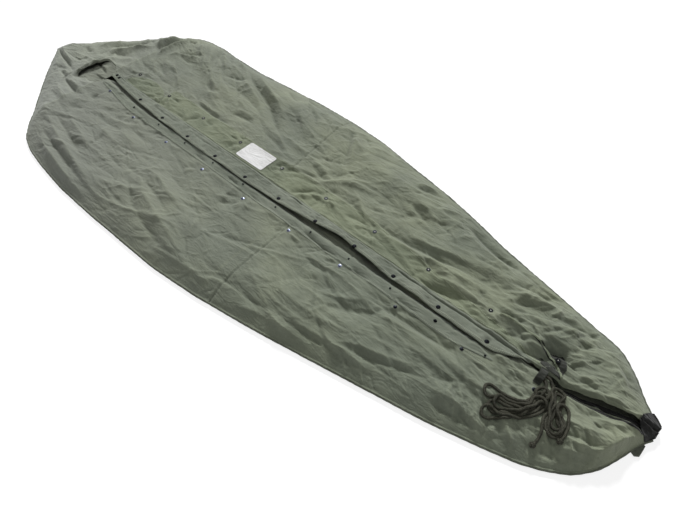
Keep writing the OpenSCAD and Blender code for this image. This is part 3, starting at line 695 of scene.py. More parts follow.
def relax_front():
    tgt = side_drop(GX, GY)
    strewn = random_folds(330, 11, (-380, 380, -900, 1060), lie_angle, (100, 330), (4.5, 9), (1.2, 3.6), 0.22)
    strewn += random_folds(110, 23, (-370, 370, -1000, 1000), lambda x, y: lie_angle(x, y) + 0.7, (50, 130), (4, 8), (0.8, 2.2), 0.6)
    strewn += random_folds(90, 31, (-190, 190, -1080, -740), lambda x, y: math.pi / 2 + 0.006 * x, (40, 120), (5, 9), (1.8, 4.5), 0.3)
    e = np.minimum(xr(GY) - GX, GX - xl(GY))
    inner = sstep((e - 2) / 34.0)
    for sx, sy in SNAP_L + SNAP_R:
        # the cloth puckers round each fastener
        rng = np.random.default_rng(int(abs(sx * 7 + sy)))
        for k in range(7):
            a = math.pi / 2 + (k % 2) * math.pi + rng.normal(0, 0.75)
            r0, r1 = rng.uniform(7, 12), rng.uniform(34, 74)
            pts = [(sx + r * math.cos(a + 0.004 * r), sy + r * math.sin(a + 0.004 * r)) for r in (r0, (r0 + r1) / 2, r1)]
            pts = pts if pts[0][1] > pts[-1][1] else pts[::-1]
            strewn.append((rng.uniform(1.6, 3.6) * (1 if k % 3 else -1), rng.uniform(3.5, 6), rng.uniform(3.5, 6), pts))
    drawn = 1.4 * fold_height(GX, GY, FOLDS, 1.15) + 1.45 * fold_height(GX, GY, strewn, 1.1)
    for amp, w, pts in SOFT_ROLLS:
        drawn = drawn + amp * fold_height(GX, GY, [(1.0, w, w, pts)], 2.0)
    z = tgt + drawn * inner
    z += 1.2 * vnoise(GX / 90, GY / 160, 5) * inner + 0.5 * vnoise(GX / 22, GY / 40, 7) * inner
    P = np.stack([GX, GY, z], -1)
    G = P.copy()
    # lengths of the cloth: a little more than the ground it covers, so it buckles
    base = np.stack([GX, GY, tgt], -1)
    fit = np.stack([GX, GY, z], -1)

    def rest(di, dj, share, extra):
        n0, n1 = NV - abs(di), NU - abs(dj)
        a = (slice(0, n0), slice(0, n1) if dj >= 0 else slice(-dj, NU))
        b = (slice(di, NV), slice(dj, NU) if dj >= 0 else slice(0, n1))
        l0 = np.linalg.norm(base[b] - base[a], axis=-1)
        l1 = np.linalg.norm(fit[b] - fit[a], axis=-1)
        return a, b, (l0 * (1 - share) + l1 * share) * (1 + extra)

    links = []
    for di, dj, stiff, share, extra in (
        (0, 1, 0.9, 0.9, 0.05), (1, 0, 0.9, 0.9, 0.02),
        (1, 1, 0.35, 0.9, 0.035), (1, -1, 0.35, 0.9, 0.035),
        (0, 2, 0.06, 0.97, 0.025), (2, 0, 0.06, 0.97, 0.01),
    ):
        a, b, l = rest(di, dj, share, extra)
        links.append((a, b, l, stiff, di, dj))
    free = inner * 1.0
    # points that can't move: the seam all round, and the snaps
    pin = np.zeros_like(z)
    for pts in (SNAP_L, SNAP_R):
        for sx, sy in pts:
            d = np.hypot(GX - sx, GY - sy)
            pin = np.maximum(pin, np.exp(-((d / 8.5) ** 4)))
    # the strip of the studs and the ground under the label stay flat
    flat = sstep((12 - np.maximum(np.abs(GX + 58) - 8, 0)) / 12) * sstep((760 - GY) / 60) * sstep((GY + 830) / 60)
    patch = sstep((20 - np.maximum(np.abs(GX - 47) - 33, 0)) / 20) * sstep((20 - np.maximum(np.abs(GY - 80) - 54, 0)) / 20)
    seat = sstep((24 - np.maximum(np.abs(GX + 16) - 16, 0)) / 24) * sstep((24 - np.maximum(np.abs(GY + 878) - 10, 0)) / 24)
    pin = np.maximum(np.maximum(pin, 0.55 * flat), np.maximum(0.9 * patch, 0.9 * seat))
    lvl = np.full_like(z, 40.2)
    z2 = z * (1 - pin) + lvl * pin
    P[..., 2] = z2
    G[..., 2] = z2
    hold = np.clip(1 - inner, 0, 1)
    n_it = 150
    for it in range(n_it):
        acc = np.zeros_like(P)
        cnt = np.full(z.shape, 1e-9)
        for a, b, l, stiff, di, dj in links:
            d = P[b] - P[a]
            n = np.linalg.norm(d, axis=-1)
            c = (stiff * 0.5 * (1 - l / np.maximum(n, 1e-6)))[..., None] * d
            acc[a] += c
            acc[b] -= c
            cnt[a] += stiff
            cnt[b] += stiff
        P += 1.15 * acc / np.maximum(cnt, 1e-9)[..., None] * free[..., None]
        P[..., 2] += (G[..., 2] - P[..., 2]) * 0.03
        P[..., :2] += (G[..., :2] - P[..., :2]) * 0.10
        P += (G - P) * (hold * 0.8)[..., None]
        P[..., 2] += (lvl - P[..., 2]) * pin
        P[..., :2] += (G[..., :2] - P[..., :2]) * pin[..., None]
        P[..., 2] = np.maximum(P[..., 2], 4.0)
        if it > n_it - 4:
            P[1:-1, 1:-1, 2] += 0.12 * (P[:-2, 1:-1, 2] + P[2:, 1:-1, 2] + P[1:-1, :-2, 2] + P[1:-1, 2:, 2] - 4 * P[1:-1, 1:-1, 2])
    # what the relaxing rounded off comes back sharper
    P[..., 2] += 0.55 * (G[..., 2] - P[..., 2]) * inner * (1 - pin)
    return P - np.stack([GX, GY, np.zeros_like(z)], -1)


def upsample(F):
    """Twice as many rows and columns, on a smooth curve through the points."""
    for ax in (0, 1):
        F = np.moveaxis(F, ax, 0)
        Q = np.concatenate([F[:1], F, F[-1:]])
        mid = (-Q[:-3] + 9 * Q[1:-2] + 9 * Q[2:-1] - Q[3:]) / 16
        out = np.empty((2 * len(F) - 1,) + F.shape[1:])
        out[0::2], out[1::2] = F, mid
        F = np.moveaxis(out, 0, ax)
    return F


def crisp_creases(F):
    """Small sharp creases, finer than the relaxed grid can hold, strewn by given rules over the fine one."""
    n0, n1 = F.shape[:2]
    y = np.repeat(np.linspace(VY[0], VY[-1], n0)[:, None], n1, 1)
    x = xl(y) + (xr(y) - xl(y)) * np.linspace(0, 1, n1)[None]
    small = random_folds(1500, 47, (-390, 390, -1085, 1090), lie_angle, (26, 130), (2.4, 4.6), (0.5, 1.7), 0.42)
    small += random_folds(900, 59, (-390, 390, -1085, 1090), lambda a, b: lie_angle(a, b) + 0.8, (18, 60), (2.2, 3.6), (0.4, 1.2), 0.7)
    small += random_folds(260, 67, (-190, 190, -1080, -640), lambda a, b: math.pi / 2 + 0.006 * a, (30, 110), (2.6, 5.0), (1.0, 2.6), 0.35)
    for sx, sy in SNAP_L + SNAP_R:
        rng = np.random.default_rng(int(abs(sx * 5 - sy)))
        for k in range(9):
            a = math.pi / 2 + (k % 2) * math.pi + rng.normal(0, 0.8)
            r0, r1 = rng.uniform(8, 12), rng.uniform(26, 58)
            pts = [(sx + r * math.cos(a + 0.005 * r), sy + r * math.sin(a + 0.005 * r)) for r in (r0, (r0 + r1) / 2, r1)]
            pts = pts if pts[0][1] > pts[-1][1] else pts[::-1]
            small.append((rng.uniform(0.9, 2.1) * (1 if k % 2 else -1), 2.6, 3.0, pts))
    e = np.minimum(xr(y) - x, x - xl(y))
    c = fold_height(x, y, small, 1.1)
    patchy = 0.45 + 0.75 * sstep(0.5 + 1.1 * vnoise(x / 85, y / 120, 91))
    hold = np.ones_like(x)
    for sx, sy in SNAP_L + SNAP_R:
        hold *= 1 - np.exp(-((np.hypot(x - sx, y - sy) / 8.8) ** 6))
    lab = sstep((12 - np.maximum(np.abs(x - 47) - 33, 0)) / 12) * sstep((12 - np.maximum(np.abs(y - 80) - 54, 0)) / 12)
    studs = sstep((8 - np.maximum(np.abs(x + 58) - 6, 0)) / 8) * sstep((760 - y) / 40) * sstep((y + 830) / 40)
    seat = sstep((18 - np.maximum(np.abs(x + 16) - 20, 0)) / 18) * sstep((18 - np.maximum(np.abs(y + 878) - 12, 0)) / 18)
    F = F.copy()
    F[..., 2] += 1.4 * c * patchy * hold * sstep(e / 10) * (1 - 0.8 * lab) * (1 - 0.85 * studs) * (1 - 0.9 * seat)
    return F


FIELD = crisp_creases(upsample(relax_front()))


def field(x, y):
    """Where a point of the flat front lies: displacement in mm; the third number is the height."""
    u = (x - xl(y)) / (xr(y) - xl(y))
    v = (y - VY[0]) / (VY[-1] - VY[0])
    n0, n1 = FIELD.shape[:2]
    a, b = np.clip(v, 0, 1) * (n0 - 1), np.clip(u, 0, 1) * (n1 - 1)
    i, j = np.clip(a.astype(int), 0, n0 - 2), np.clip(b.astype(int), 0, n1 - 2)
    fa, fb = (a - i)[..., None], (b - j)[..., None]
    return (FIELD[i, j] * (1 - fa) + FIELD[i + 1, j] * fa) * (1 - fb) + (FIELD[i, j + 1] * (1 - fa) + FIELD[i + 1, j + 1] * fa) * fb


# ------------------------------------------------------------------ mesh building
def grid_normals(P, mask=None):
    """Unit normals of a grid of points, up when the columns run to +X and the rows to +Y."""
    du = np.gradient(P, axis=1)
    dv = np.gradient(P, axis=0)
    n = np.cross(du, dv)
    l = np.linalg.norm(n, axis=-1, keepdims=True)
    return n / np.maximum(l, 1e-12)


def fast_mesh(name, co, quads, loop_normals=None, uv=None, material=None, tris=None):
    me = bpy.data.meshes.new(name)
    quads = np.asarray(quads, np.int32).reshape(-1, 4)
    nt = 0 if tris is None else len(tris)
    me.vertices.add(len(co))
    me.vertices.foreach_set("co", np.asarray(co, np.float32).ravel())
    me.loops.add(4 * len(quads) + 3 * nt)
    me.polygons.add(len(quads) + nt)
    loops = quads.ravel()
    starts = np.arange(len(quads)) * 4
    if nt:
        loops = np.concatenate([loops, np.asarray(tris, np.int32).ravel()])
        starts = np.concatenate([starts, 4 * len(quads) + np.arange(nt) * 3])
    me.loops.foreach_set("vertex_index", loops.astype(np.int32))
    me.polygons.foreach_set("loop_start", starts.astype(np.int32))
    me.update(calc_edges=True)
    me.validate()
    me.polygons.foreach_set("use_smooth", np.ones(len(me.polygons), bool))
    if uv is not None:
        layer = me.uv_layers.new(name="UVMap")
        layer.data.foreach_set("uv", np.asarray(uv, np.float32)[loops].ravel())
    if loop_normals is not None and len(loop_normals) == len(me.loops):
        me.normals_split_custom_set(np.asarray(loop_normals, float).tolist())
    if material:
        me.materials.append(material)
    return collection(bpy.data.objects.new(name, me))


def sheet_mesh(name, P, mask, thick, material, normals=None, round_edge=True):
    """A thin closed sheet. P: rows x columns x 3 of its upper side, in mm; mask: which cells exist; thick in mm."""
    P = np.asarray(P, float)
    nr, nc = P.shape[:2]
    if mask is None:
        mask = np.ones((nr - 1, nc - 1), bool)
    N = grid_normals(P) if normals is None else normals
    idx = np.arange(nr * nc).reshape(nr, nc)
    a, b, c, d = idx[:-1, :-1][mask], idx[:-1, 1:][mask], idx[1:, 1:][mask], idx[1:, :-1][mask]
    top = np.stack([a, b, c, d], -1)
    K = nr * nc
    bot = np.stack([d, c, b, a], -1) + K
    # walls round every open edge
    m = np.zeros((nr + 1, nc + 1), bool)
    m[1:-1, 1:-1] = mask
    walls, wn = [], []
    for (i0, j0, i1, j1, si, sj) in ((0, 0, 0, 1, -1, 0), (1, 1, 1, 0, 1, 0), (1, 0, 0, 0, 0, -1), (0, 1, 1, 1, 0, 1)):
        here = m[1:-1, 1:-1] & ~m[1 + si : nr + si, 1 + sj : nc + sj]
        ii, jj = np.nonzero(here)
        p, q = idx[ii + i0, jj + j0], idx[ii + i1, jj + j1]
        walls.append(np.stack([q, p, p + K, q + K], -1))
        flat = P.reshape(-1, 3)
        nn = np.cross(flat[q] - flat[p], N.reshape(-1, 3)[p])
        l = np.linalg.norm(nn, axis=1, keepdims=True)
        wn.append(nn / np.maximum(l, 1e-12))
    walls, wn = np.concatenate(walls), np.concatenate(wn)
    co = np.concatenate([P.reshape(-1, 3), (P - N * thick).reshape(-1, 3)])
    Nf = N.reshape(-1, 3)
    ln = np.concatenate([Nf[top].reshape(-1, 3), -Nf[bot - K].reshape(-1, 3), np.repeat(wn, 4, 0)])
    quads = np.concatenate([top, bot, walls])
    # drop points that no face uses
    used = np.zeros(2 * K, bool)
    used[quads.ravel()] = True
    new = np.cumsum(used) - 1
    return fast_mesh(name, co[used] * MM, new[quads], ln, material=material)


def frames_along(pts):
    t = np.gradient(pts, axis=0)
    t /= np.maximum(np.linalg.norm(t, axis=1, keepdims=True), 1e-12)
    n = np.zeros_like(t)
    ref = np.array([0, 0, 1.0]) if abs(t[0, 2]) < 0.9 else np.array([1.0, 0, 0])
    v = ref - t[0] * (ref @ t[0])
    n[0] = v / np.linalg.norm(v)
    for i in range(1, len(pts)):
        v = n[i - 1] - t[i] * (n[i - 1] @ t[i])
        n[i] = v / np.linalg.norm(v)
    return t, n, np.cross(t, n)


def tube_mesh(name, pts, radius, material, sides=10, closed_ends=True, flat=1.0):
    """A round tube along points in mm. UV: lengths of 10 mm along, turns around."""
    pts = np.asarray(pts, float)
    t, n, b = frames_along(pts)
    r = np.broadcast_to(np.asarray(radius, float), (len(pts),))
    run = np.concatenate([[0], np.cumsum(np.linalg.norm(np.diff(pts, axis=0), axis=1))]) / 10.0
    ang = np.arange(sides) * 2 * math.pi / sides
    ring = pts[:, None] + r[:, None, None] * (n[:, None] * np.cos(ang)[None, :, None] + flat * b[:, None] * np.sin(ang)[None, :, None])
    co = ring.reshape(-1, 3)
    uv = np.stack([np.repeat(run, sides), np.tile(np.arange(sides) / sides, len(pts))], -1)
    i = np.arange(len(pts) - 1)[:, None] * sides
    j = np.arange(sides)[None]
    k = (j + 1) % sides
    quads = np.stack([i + j, i + k, i + sides + k, i + sides + j], -1).reshape(-1, 4)
    tris = None
    if closed_ends:
        co = np.concatenate([co, pts[:1], pts[-1:]])
        uv = np.concatenate([uv, [[0, 0]], [[run[-1], 0]]])
        c0, c1 = len(co) - 2, len(co) - 1
        last = (len(pts) - 1) * sides
        jj = np.arange(sides)
        kk = (jj + 1) % sides
        tris = np.concatenate([np.stack([np.full(sides, c0), kk, jj], -1), np.stack([np.full(sides, c1), last + jj, last + kk], -1)])
    return fast_mesh(name, co * MM, quads, None, uv, material, tris)


def resample(pts, step):
    pts = np.asarray(pts, float)
    seg = np.linalg.norm(np.diff(pts, axis=0), axis=1)
    s = np.concatenate([[0], np.cumsum(seg)])
    n = max(2, int(round(s[-1] / step)) + 1)
    t = np.linspace(0, s[-1], n)
    return np.stack([np.interp(t, s, pts[:, k]) for k in range(3)], -1)


def rounded(pts, step, passes=3):
    p = resample(pts, step)
    for _ in range(passes):
        q = p.copy()
        q[1:-1] = 0.25 * p[:-2] + 0.5 * p[1:-1] + 0.25 * p[2:]
        p = q
    return resample(p, step)


# ------------------------------------------------------------------ how the two sides of the closure lie
XG = [(775, -20), (745, -24), (700, -29), (650, -36), (600, -42), (550, -46), (480, -48), (60, -49), (0, -50), (-60, -50.5), (-460, -50.5), (-500, -48), (-560, -44),
      (-772, -43), (-800, -34), (-826, -22), (-858, -15), (-900, -15), (-925, -23), (-955, -21), (-990, -13), (-1040, 1), (-1070, 10), (-1116, 24)]
DROP = [(775, 14), (745, 15), (650, 15), (500, 12), (300, 8), (120, 9), (40, 13), (-40, 17), (-120, 21), (-200, 25), (-320, 27),
        (-440, 26), (-500, 17), (-640, 14), (-800, 13), (-900, 16), (-960, 24), (-1040, 24), (-1070, 20), (-1116, 8)]
WIDE = [(775, 10), (500, 8), (100, 8), (0, 10), (-80, 14), (-200, 24), (-320, 27), (-440, 22), (-500, 10), (-900, 10), (-1000, 16), (-1116, 20)]
# small hollows and ridges beside the studs of the placket
STUD_FOLDS = [(-5, 4, 5, [(-62, 84), (-64, 50), (-66, 16)]), (-4, 5, 7, [(-66, -4), (-70, -50), (-72, -96), (-66, -118)]),
              (-6, 5, 6, [(-65, -216), (-68, -262), (-70, -300), (-66, -346)]), (-5, 5, 6, [(-68, -384), (-73, -420), (-70, -456)]),
              (3, 4, 5, [(-76, -230), (-79, -280), (-76, -330)]), (-4, 4, 5, [(-64, -520), (-67, -560), (-65, -600)]),
              (3, 4, 4, [(-70, -40), (-80, -150), (-96, -196)]), (-4, 4, 6, [(-62, 226), (-66, 196), (-64, 170)])]


# the hollow above the cords, and the line that runs from it to the tip
FOOT_FOLDS = [(-17, 13, 15, [(6, -800), (20, -838), (34, -868), (30, -892), (6, -902)]), (-7, 3, 5, [(24, -968), (27, -1004), (34, -1040), (48, -1068), (62, -1088)]),
              (6, 7, 4, [(16, -972), (20, -1010), (28, -1044), (42, -1072)]), (-11, 6, 9, [(52, -832), (60, -862), (68, -888), (60, -912)]),
              (4, 7, 7, [(80, -830), (84, -868), (88, -900)]), (-6, 4, 6, [(58, -724), (64, -756), (62, -790)]),
              (5, 6, 4, [(50, -716), (55, -760), (52, -800)])]


def slit_shift(y):
    return np.clip((FOOT - y) / (FOOT - Y0), 0, 1) * 47


def left_edge(y):
    return np.where(y > FOOT, -3.0, -3.0 + slit_shift(y))


def right_edge(y):
    return np.where(y > FOOT, 0.5, 0.5 + slit_shift(y))


def left_front(x, y):
    """The left front: level, then over a soft crest and down under the fly."""
    f = field(x, y)
    P = np.stack([x + f[..., 0], y + f[..., 1], f[..., 2]], -1)
    xg = smooth_lut(y, XG, 26) + 1.6 * vnoise(y / 34, y * 0, 3)
    t = (x - xg) / smooth_lut(y, WIDE, 30)
    crest = 2.6 * np.exp(-(((x - xg + 4) / 7.0) ** 2)) * sstep((x + 75) / 10) * 0.6
    soft = 1 - np.exp(-np.clip(t, 0, 9) ** 1.6)
    P[..., 2] += crest - smooth_lut(y, DROP, 30) * soft
    P[..., 2] += fold_height(np.asarray(x, float), np.asarray(y, float), STUD_FOLDS, 1.3)
    under = sstep((x - xg - 2) / 22)
    P[..., 2] += under * (1.5 * vnoise(x / 16, y / 44, 9))
    P[..., 2] = np.maximum(P[..., 2], 9.0)
    # towards the mouth the free corner sinks
    m = sstep((y - 716) / 70) * sstep((x + 70) / 46)
    P[..., 2] -= 9 * m
    return P


def right_front(x, y):
    """The right front: rolled over at the slit, a ridge where the fly is sewn on, then the field."""
    f = field(x, y)
    P = np.stack([x + f[..., 0], y + f[..., 1], f[..., 2]], -1)
    e = x - right_edge(y)
    hem = np.exp(-((e / 4.5) ** 2))
    foot = sstep((FOOT + 40 - y) / 60)
    P[..., 2] += -5.5 * np.exp(-((e / 2.4) ** 2)) * (1 - 0.3 * foot)
    P[..., 2] += (1.2 + 4.0 * foot) * np.exp(-(((e - 8) / 5.0) ** 2)) * sstep((e + 1) / 4)
    P[..., 2] += fold_height(np.asarray(x, float), np.asarray(y, float), FOOT_FOLDS, 1.2)
    m = sstep((y - 716) / 70) * sstep((44 - x) / 46)
    P[..., 2] -= 5 * m
    return P


def floor_z(x, y):
    """Top of the sack, for things that lie on it."""
    x, y = np.asarray(x, float), np.asarray(y, float)
    shape = x.shape
    x, y = np.atleast_1d(x), np.atleast_1d(y)
    l, r = left_front(x, y)[..., 2], right_front(x, y)[..., 2]
    z = np.where(x < left_edge(y), l, np.where(x > right_edge(y), r, np.minimum(l, r)))
    return z.reshape(shape)


# ------------------------------------------------------------------ cords
CORD_R = 3.3
BEND = 14.6
ROUTE_A = [(-22, -871, 46.5), (-22, -880, 46.5), (-23, -888, 46.5), (-27, -895, 46.5), (-34, -901, 46.5), (-41, -904, 46.5), (-48, -905, 46.5)]
ROUTE_B = [(-13, -871, 46.5), (-13, -882, 46.5), (-13, -894, 46.5), (-16, -906, 46.5), (-22, -915, 46.5), (-31, -923, 46.5)]


def hank_path(axis, runs, near, far, near_z, far_z, reach=None, flare=13.0):
    """Runs to and fro along an axis: near[i] and far[i] are how far to the side each run starts and ends."""
    ax = rounded([(p[0], p[1], 0) for p in axis], 4, 6)[:, :2]
    t = np.gradient(ax, axis=0)
    t /= np.linalg.norm(t, axis=1, keepdims=True)
    side = np.stack([-t[:, 1], t[:, 0]], -1)
    out = []
    n = len(ax)
    reach = reach or [1.0] * runs
    for i in range(runs):
        # runs i and i+1 share the fold between them, so they reach equally far
        last = int((n - 1) * reach[i])
        first = int((n - 1) * (0.0 if i == 0 else 0.10 * ((i * 7) % 3)))
        order = range(first, last + 1) if i % 2 == 0 else range(last, first - 1, -1)
        for k in order:
            s = k / (n - 1)
            w = sstep(s)
            off = near[i] * (1 - w) + far[i] * w
            z = near_z[i] * (1 - w) + far_z[i] * w
            out.append((*(ax[k] + side[k] * off), z))
        if i < runs - 1:
            # the fold at the end: a loop a little wider than the runs are apart
            if i % 2 == 0:
                c, tt, sd, o0, o1, z0_, z1_ = ax[last], t[last], side[last], far[i], far[i + 1], far_z[i], far_z[i + 1]
            else:
                c, tt, sd, o0, o1, z0_, z1_ = ax[first], -t[first], side[first], near[i], near[i + 1], near_z[i], near_z[i + 1]
            mid, half = (o0 + o1) / 2, (o1 - o0) / 2
            r = max(abs(half), flare)
            for a in np.linspace(0.12, 0.88, 7):
                ang = math.pi * a
                o = mid - math.copysign(1, half if half else 1) * r * math.cos(ang)
                f = 0.35 * r + r * math.sin(ang) * 1.05
                out.append((*(c + sd * o + tt * f), z0_ * (1 - a) + z1_ * a))
    return out


def settle(ropes, fixed, step, radius, iters=170):
    """Ropes that don't pass through each other or the cloth, come to rest. ropes: point lists; fixed: points held at each start."""
    paths = [rounded(r, step, 2) for r in ropes]
    sizes = [len(p) for p in paths]
    P = np.concatenate(paths)
    own = np.concatenate([np.full(s, i) for i, s in enumerate(sizes)])
    num = np.concatenate([np.arange(s) for s in sizes])
    hold = num < np.array([fixed[i] for i in own])
    H = P.copy()
    link = (own[1:] == own[:-1])
    far = ~((own[:, None] == own[None]) & (np.abs(num[:, None] - num[None]) < int(2.6 * radius / step) + 2))
    np.fill_diagonal(far, False)
    d0 = 2 * radius * 1.02
    for it in range(iters):
        P[:, 2] -= 0.22
        for _ in range(2):
            d = P[1:] - P[:-1]
            l = np.linalg.norm(d, axis=1, keepdims=True)
            c = 0.5 * (1 - step / np.maximum(l, 1e-6)) * d * link[:, None]
            P[:-1] += c
            P[1:] -= c
            # stiffness: three points in a row stay nearly in line
            q = P[2:] + P[:-2] - 2 * P[1:-1]
            ok = (link[1:] & link[:-1])[:, None]
            P[1:-1] += 0.14 * q * ok
            P[2:] -= 0.05 * q * ok
            P[:-2] -= 0.05 * q * ok
        # no bend tighter than two cord diameters or so
        for k in (4, 8, 12):
            chord = 2 * BEND * math.sin(min(k * step / (2 * BEND), math.pi / 2)) * 0.98
            d = P[k:] - P[:-k]
            l = np.linalg.norm(d, axis=1, keepdims=True)
            c = np.where((l < chord) & (own[k:] == own[:-k])[:, None], 0.22 * (chord - l) / np.maximum(l, 1e-6), 0.0) * d
            P[k:] += c
            P[:-k] -= c
        D = P[:, None] - P[None]
        L = np.sqrt((D ** 2).sum(-1)) + 1e-6
        w = np.where(far & (L < d0), (d0 - L) / L * 0.30, 0.0)
        push = (D * w[..., None]).sum(1)
        P += np.clip(push, -1.5, 1.5)
        g = floor_z(P[:, 0], P[:, 1]) + radius
        P[:, 2] = np.maximum(P[:, 2], g)
        P[:, :2] += (H[:, :2] - P[:, :2]) * 0.012
        P[hold] = H[hold]
    out, k = [], 0
    for s in sizes:
        p = P[k : k + s].copy()
        for _ in range(2):
            p[2:-1] = 0.25 * p[1:-2] + 0.5 * p[2:-1] + 0.25 * p[3:]
        out.append(p)
        k += s
    return out


Z = 44.0
raw_a = list(ROUTE_A) + hank_path(
    [(-54, -905), (-74, -905), (-96, -898), (-114, -880), (-127, -854), (-136, -824)],
    8, [0, 9, -8, 7, -9, 10, -6, 2], [-24, -12, -2, 10, 23, 13, -8, 3],
    [Z + 2, Z, Z, Z + 7, Z + 7, Z + 13, Z + 13, Z + 18], [Z, Z, Z, Z, Z, Z + 6, Z + 7, Z + 10], [1.0, 1.0, 0.9, 0.9, 0.96, 0.96, 0.84, 0.84])
raw_a += [(-58, -912, 56), (-72, -921, 48), (-90, -928, 44), (-110, -934, 44), (-130, -940, 44), (-146, -941, 44), (-155, -934, 44)]
raw_b = list(ROUTE_B) + hank_path(
    [(-38, -925), (-52, -929), (-68, -935), (-86, -944), (-99, -955)],
    6, [0, 8, -7, 6, -8, 2], [-14, 4, 14, 2, -12, 8],
    [Z + 2, Z, Z, Z + 7, Z + 7, Z + 11], [Z, Z, Z, Z + 4, Z + 6, Z + 8], [1.0, 1.0, 0.88, 0.88, 0.95, 0.95])
raw_b += [(-40, -938, 48), (-50, -950, 44), (-66, -961, 44), (-88, -969, 44), (-108, -973, 44), (-121, -970, 44)]
cord_paths = settle([raw_a, raw_b], [9, 9], 3.4, CORD_R)


def stopper(name, path, r_cord):
    """A barrel knot: two and a half turns round the cord just before its end."""
    p = path[-1]
    t = path[-1] - path[-3]
    t /= np.linalg.norm(t)
    up = np.array([0, 0, 1.0])
    s = np.cross(t, up)
    s /= np.linalg.norm(s)
    n = np.cross(s, t)
    pts = []
    for k in np.linspace(0, 1, 44):
        a = 2 * math.pi * 2.4 * k
        rr = r_cord * 1.25 * math.sin(math.pi * min(1, max(0, 0.5 + 3.0 * min(k, 1 - k)))) ** 0.5 if 0 < k < 1 else 1.2
        rr = r_cord * (0.55 + 0.75 * min(1.0, 4.0 * min(k, 1 - k)))
        pts.append(p - t * (11 - 9.5 * k) + rr * (s * math.cos(a) + n * math.sin(a)))
    return tube_mesh(name, pts, r_cord * 0.72, M["cord"], 9)


for label_, route, path, node_names in (
    ("a", ROUTE_A, cord_paths[0], ("cord_a_tube", "cord_a_hank")),
    ("b", ROUTE_B, cord_paths[1], ("cord_b_tube", "cord_b_hank")),
):
    fine = rounded(path, 2.4, 1)
    taper = np.ones(len(fine)) * CORD_R
    taper[-1] *= 0.55
    taper[-2] *= 0.9
    cord = tube_mesh(f"cord_{label_}", fine, taper, M["cord"], 12)
    knot = stopper(f"cord_{label_}_knot", fine, CORD_R)
    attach(cord, "root")
    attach(knot, "root")
    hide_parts(*node_names)


# ------------------------------------------------------------------ the cloth pieces
def rows_between(y1, y0, step):
    n = max(3, int(round((y1 - y0) / step)) + 1)
    return np.linspace(y0, y1, n)


def columns(a, b, n, ease=None):
    t = np.linspace(0, 1, n)
    if ease is not None:
        t = ease(t)
    return a[:, None] + (b - a)[:, None] * t[None]


THICK = 1.5
SEAM_LINES = []


def cross_seam(P, x, y, y_seam_fn, width=2.0, depth=2.2):
    d = y - y_seam_fn(x)
    P[..., 2] += -depth * np.exp(-((d / width) ** 2)) + 0.7 * np.exp(-(((d - 4.5) / 3.0) ** 2))
    return P


def left_seam_y(x):
    return -190 + (x + 344) / 261 * 8


def right_seam_y(x):
    return -34 + (x - 83) / 224 * 26


def put(name, body, node_names, obj):
    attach(obj, body)
    if node_names:
        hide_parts(*node_names)
    return obj


# left front, from the edge seam to the free edge under the fly
ys = rows_between(NECK, PATCH, 2.9)
fl = fold_l(ys)
ncol_a, ncol_b = 108, 40
A = columns(xl(ys) + 0.5, np.minimum(fl, left_edge(ys) - 1.0), ncol_a, lambda t: t + 0.10 * np.sin(2 * math.pi * t) / (2 * math.pi) * -1)
B = columns(np.minimum(fl, left_edge(ys) - 1.0), left_edge(ys), ncol_b)
X = np.concatenate([A, B[:, 1:]], 1)
Y = np.repeat(ys[:, None], X.shape[1], 1)
P = left_front(X, Y)
P = cross_seam(P, X, Y, left_seam_y)
NL = grid_normals(P)
keep = np.ones((len(ys) - 1, X.shape[1] - 1), bool)
mid_y = (ys[1:] + ys[:-1]) / 2
lap = np.zeros_like(keep)
lap[:, ncol_a - 1 :] = True
low = (mid_y < LFOOT)[:, None] & np.ones_like(keep)
half = (mid_y > -152)[:, None] & np.ones_like(keep)
for name, part, nodes in (("left_front_upper_cloth", half, ("left_front_upper", "left_lapel_upper")), ("left_front_lower_cloth", ~half, ("left_lapel_lower",))):
    left = sheet_mesh(name, P, keep & ~(lap & low) & part, THICK, M["front"], NL)
    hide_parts(*nodes)
    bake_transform(left)
left_low = sheet_mesh("left_front_foot", P, keep & lap & low, THICK, M["front"], NL)
put("left_front_foot", "root", ["left_front_lower"], left_low)

# right front, from the slit to the edge seam
fr = fold_r(ys)
inner = np.where(ys < FOOT, np.maximum(right_edge(ys), np.minimum(fr, right_edge(ys) + 30)), right_edge(ys))
inner = right_edge(ys)
mid_c = np.maximum(fr, inner + 1.0)
B = columns(inner, mid_c, 62, lambda t: t ** 1.08)
A = columns(mid_c, xr(ys) - 0.5, 90)
X = np.concatenate([B, A[:, 1:]], 1)
Y = np.repeat(ys[:, None], X.shape[1], 1)
P = right_front(X, Y)
P = cross_seam(P, X, Y, right_seam_y)
NR = grid_normals(P)
keep = np.ones((len(ys) - 1, X.shape[1] - 1), bool)
lap = np.zeros_like(keep)
lap[:, :61] = True
low = (mid_y < FOOT)[:, None] & np.ones_like(keep)
half = (mid_y > -152)[:, None] & np.ones_like(keep)
for name, part, nodes in (("right_front_upper_cloth", half, ("right_front_upper", "right_lapel_upper")), ("right_front_lower_cloth", ~half, ("right_lapel_lower",))):
    right = sheet_mesh(name, P, keep & ~(lap & low) & part, THICK, M["front"], NR)
    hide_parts(*nodes)
    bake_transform(right)
right_low = sheet_mesh("right_front_foot", P, keep & lap & low, THICK, M["front"], NR)
put("right_front_foot", "root", ["right_front_lower"], right_low)


# hood: one cloth each side, meeting above the mouth
MOUTH_R = [(770, 16), (790, 32), (825, 39), (845, 38), (857, 27), (866, 4), (872, -28)]
MOUTH_L = [(770, -54), (800, -66), (840, -76), (855, -77), (864, -70), (870, -50), (872, -28)]
MOUTH_TOP = 872.0
MOUTH_X = -28.0
MID_HEAD = -5.0
CREASE_IN = [(770, -10), (800, -2), (840, 9), (876, 19), (940, 30)]


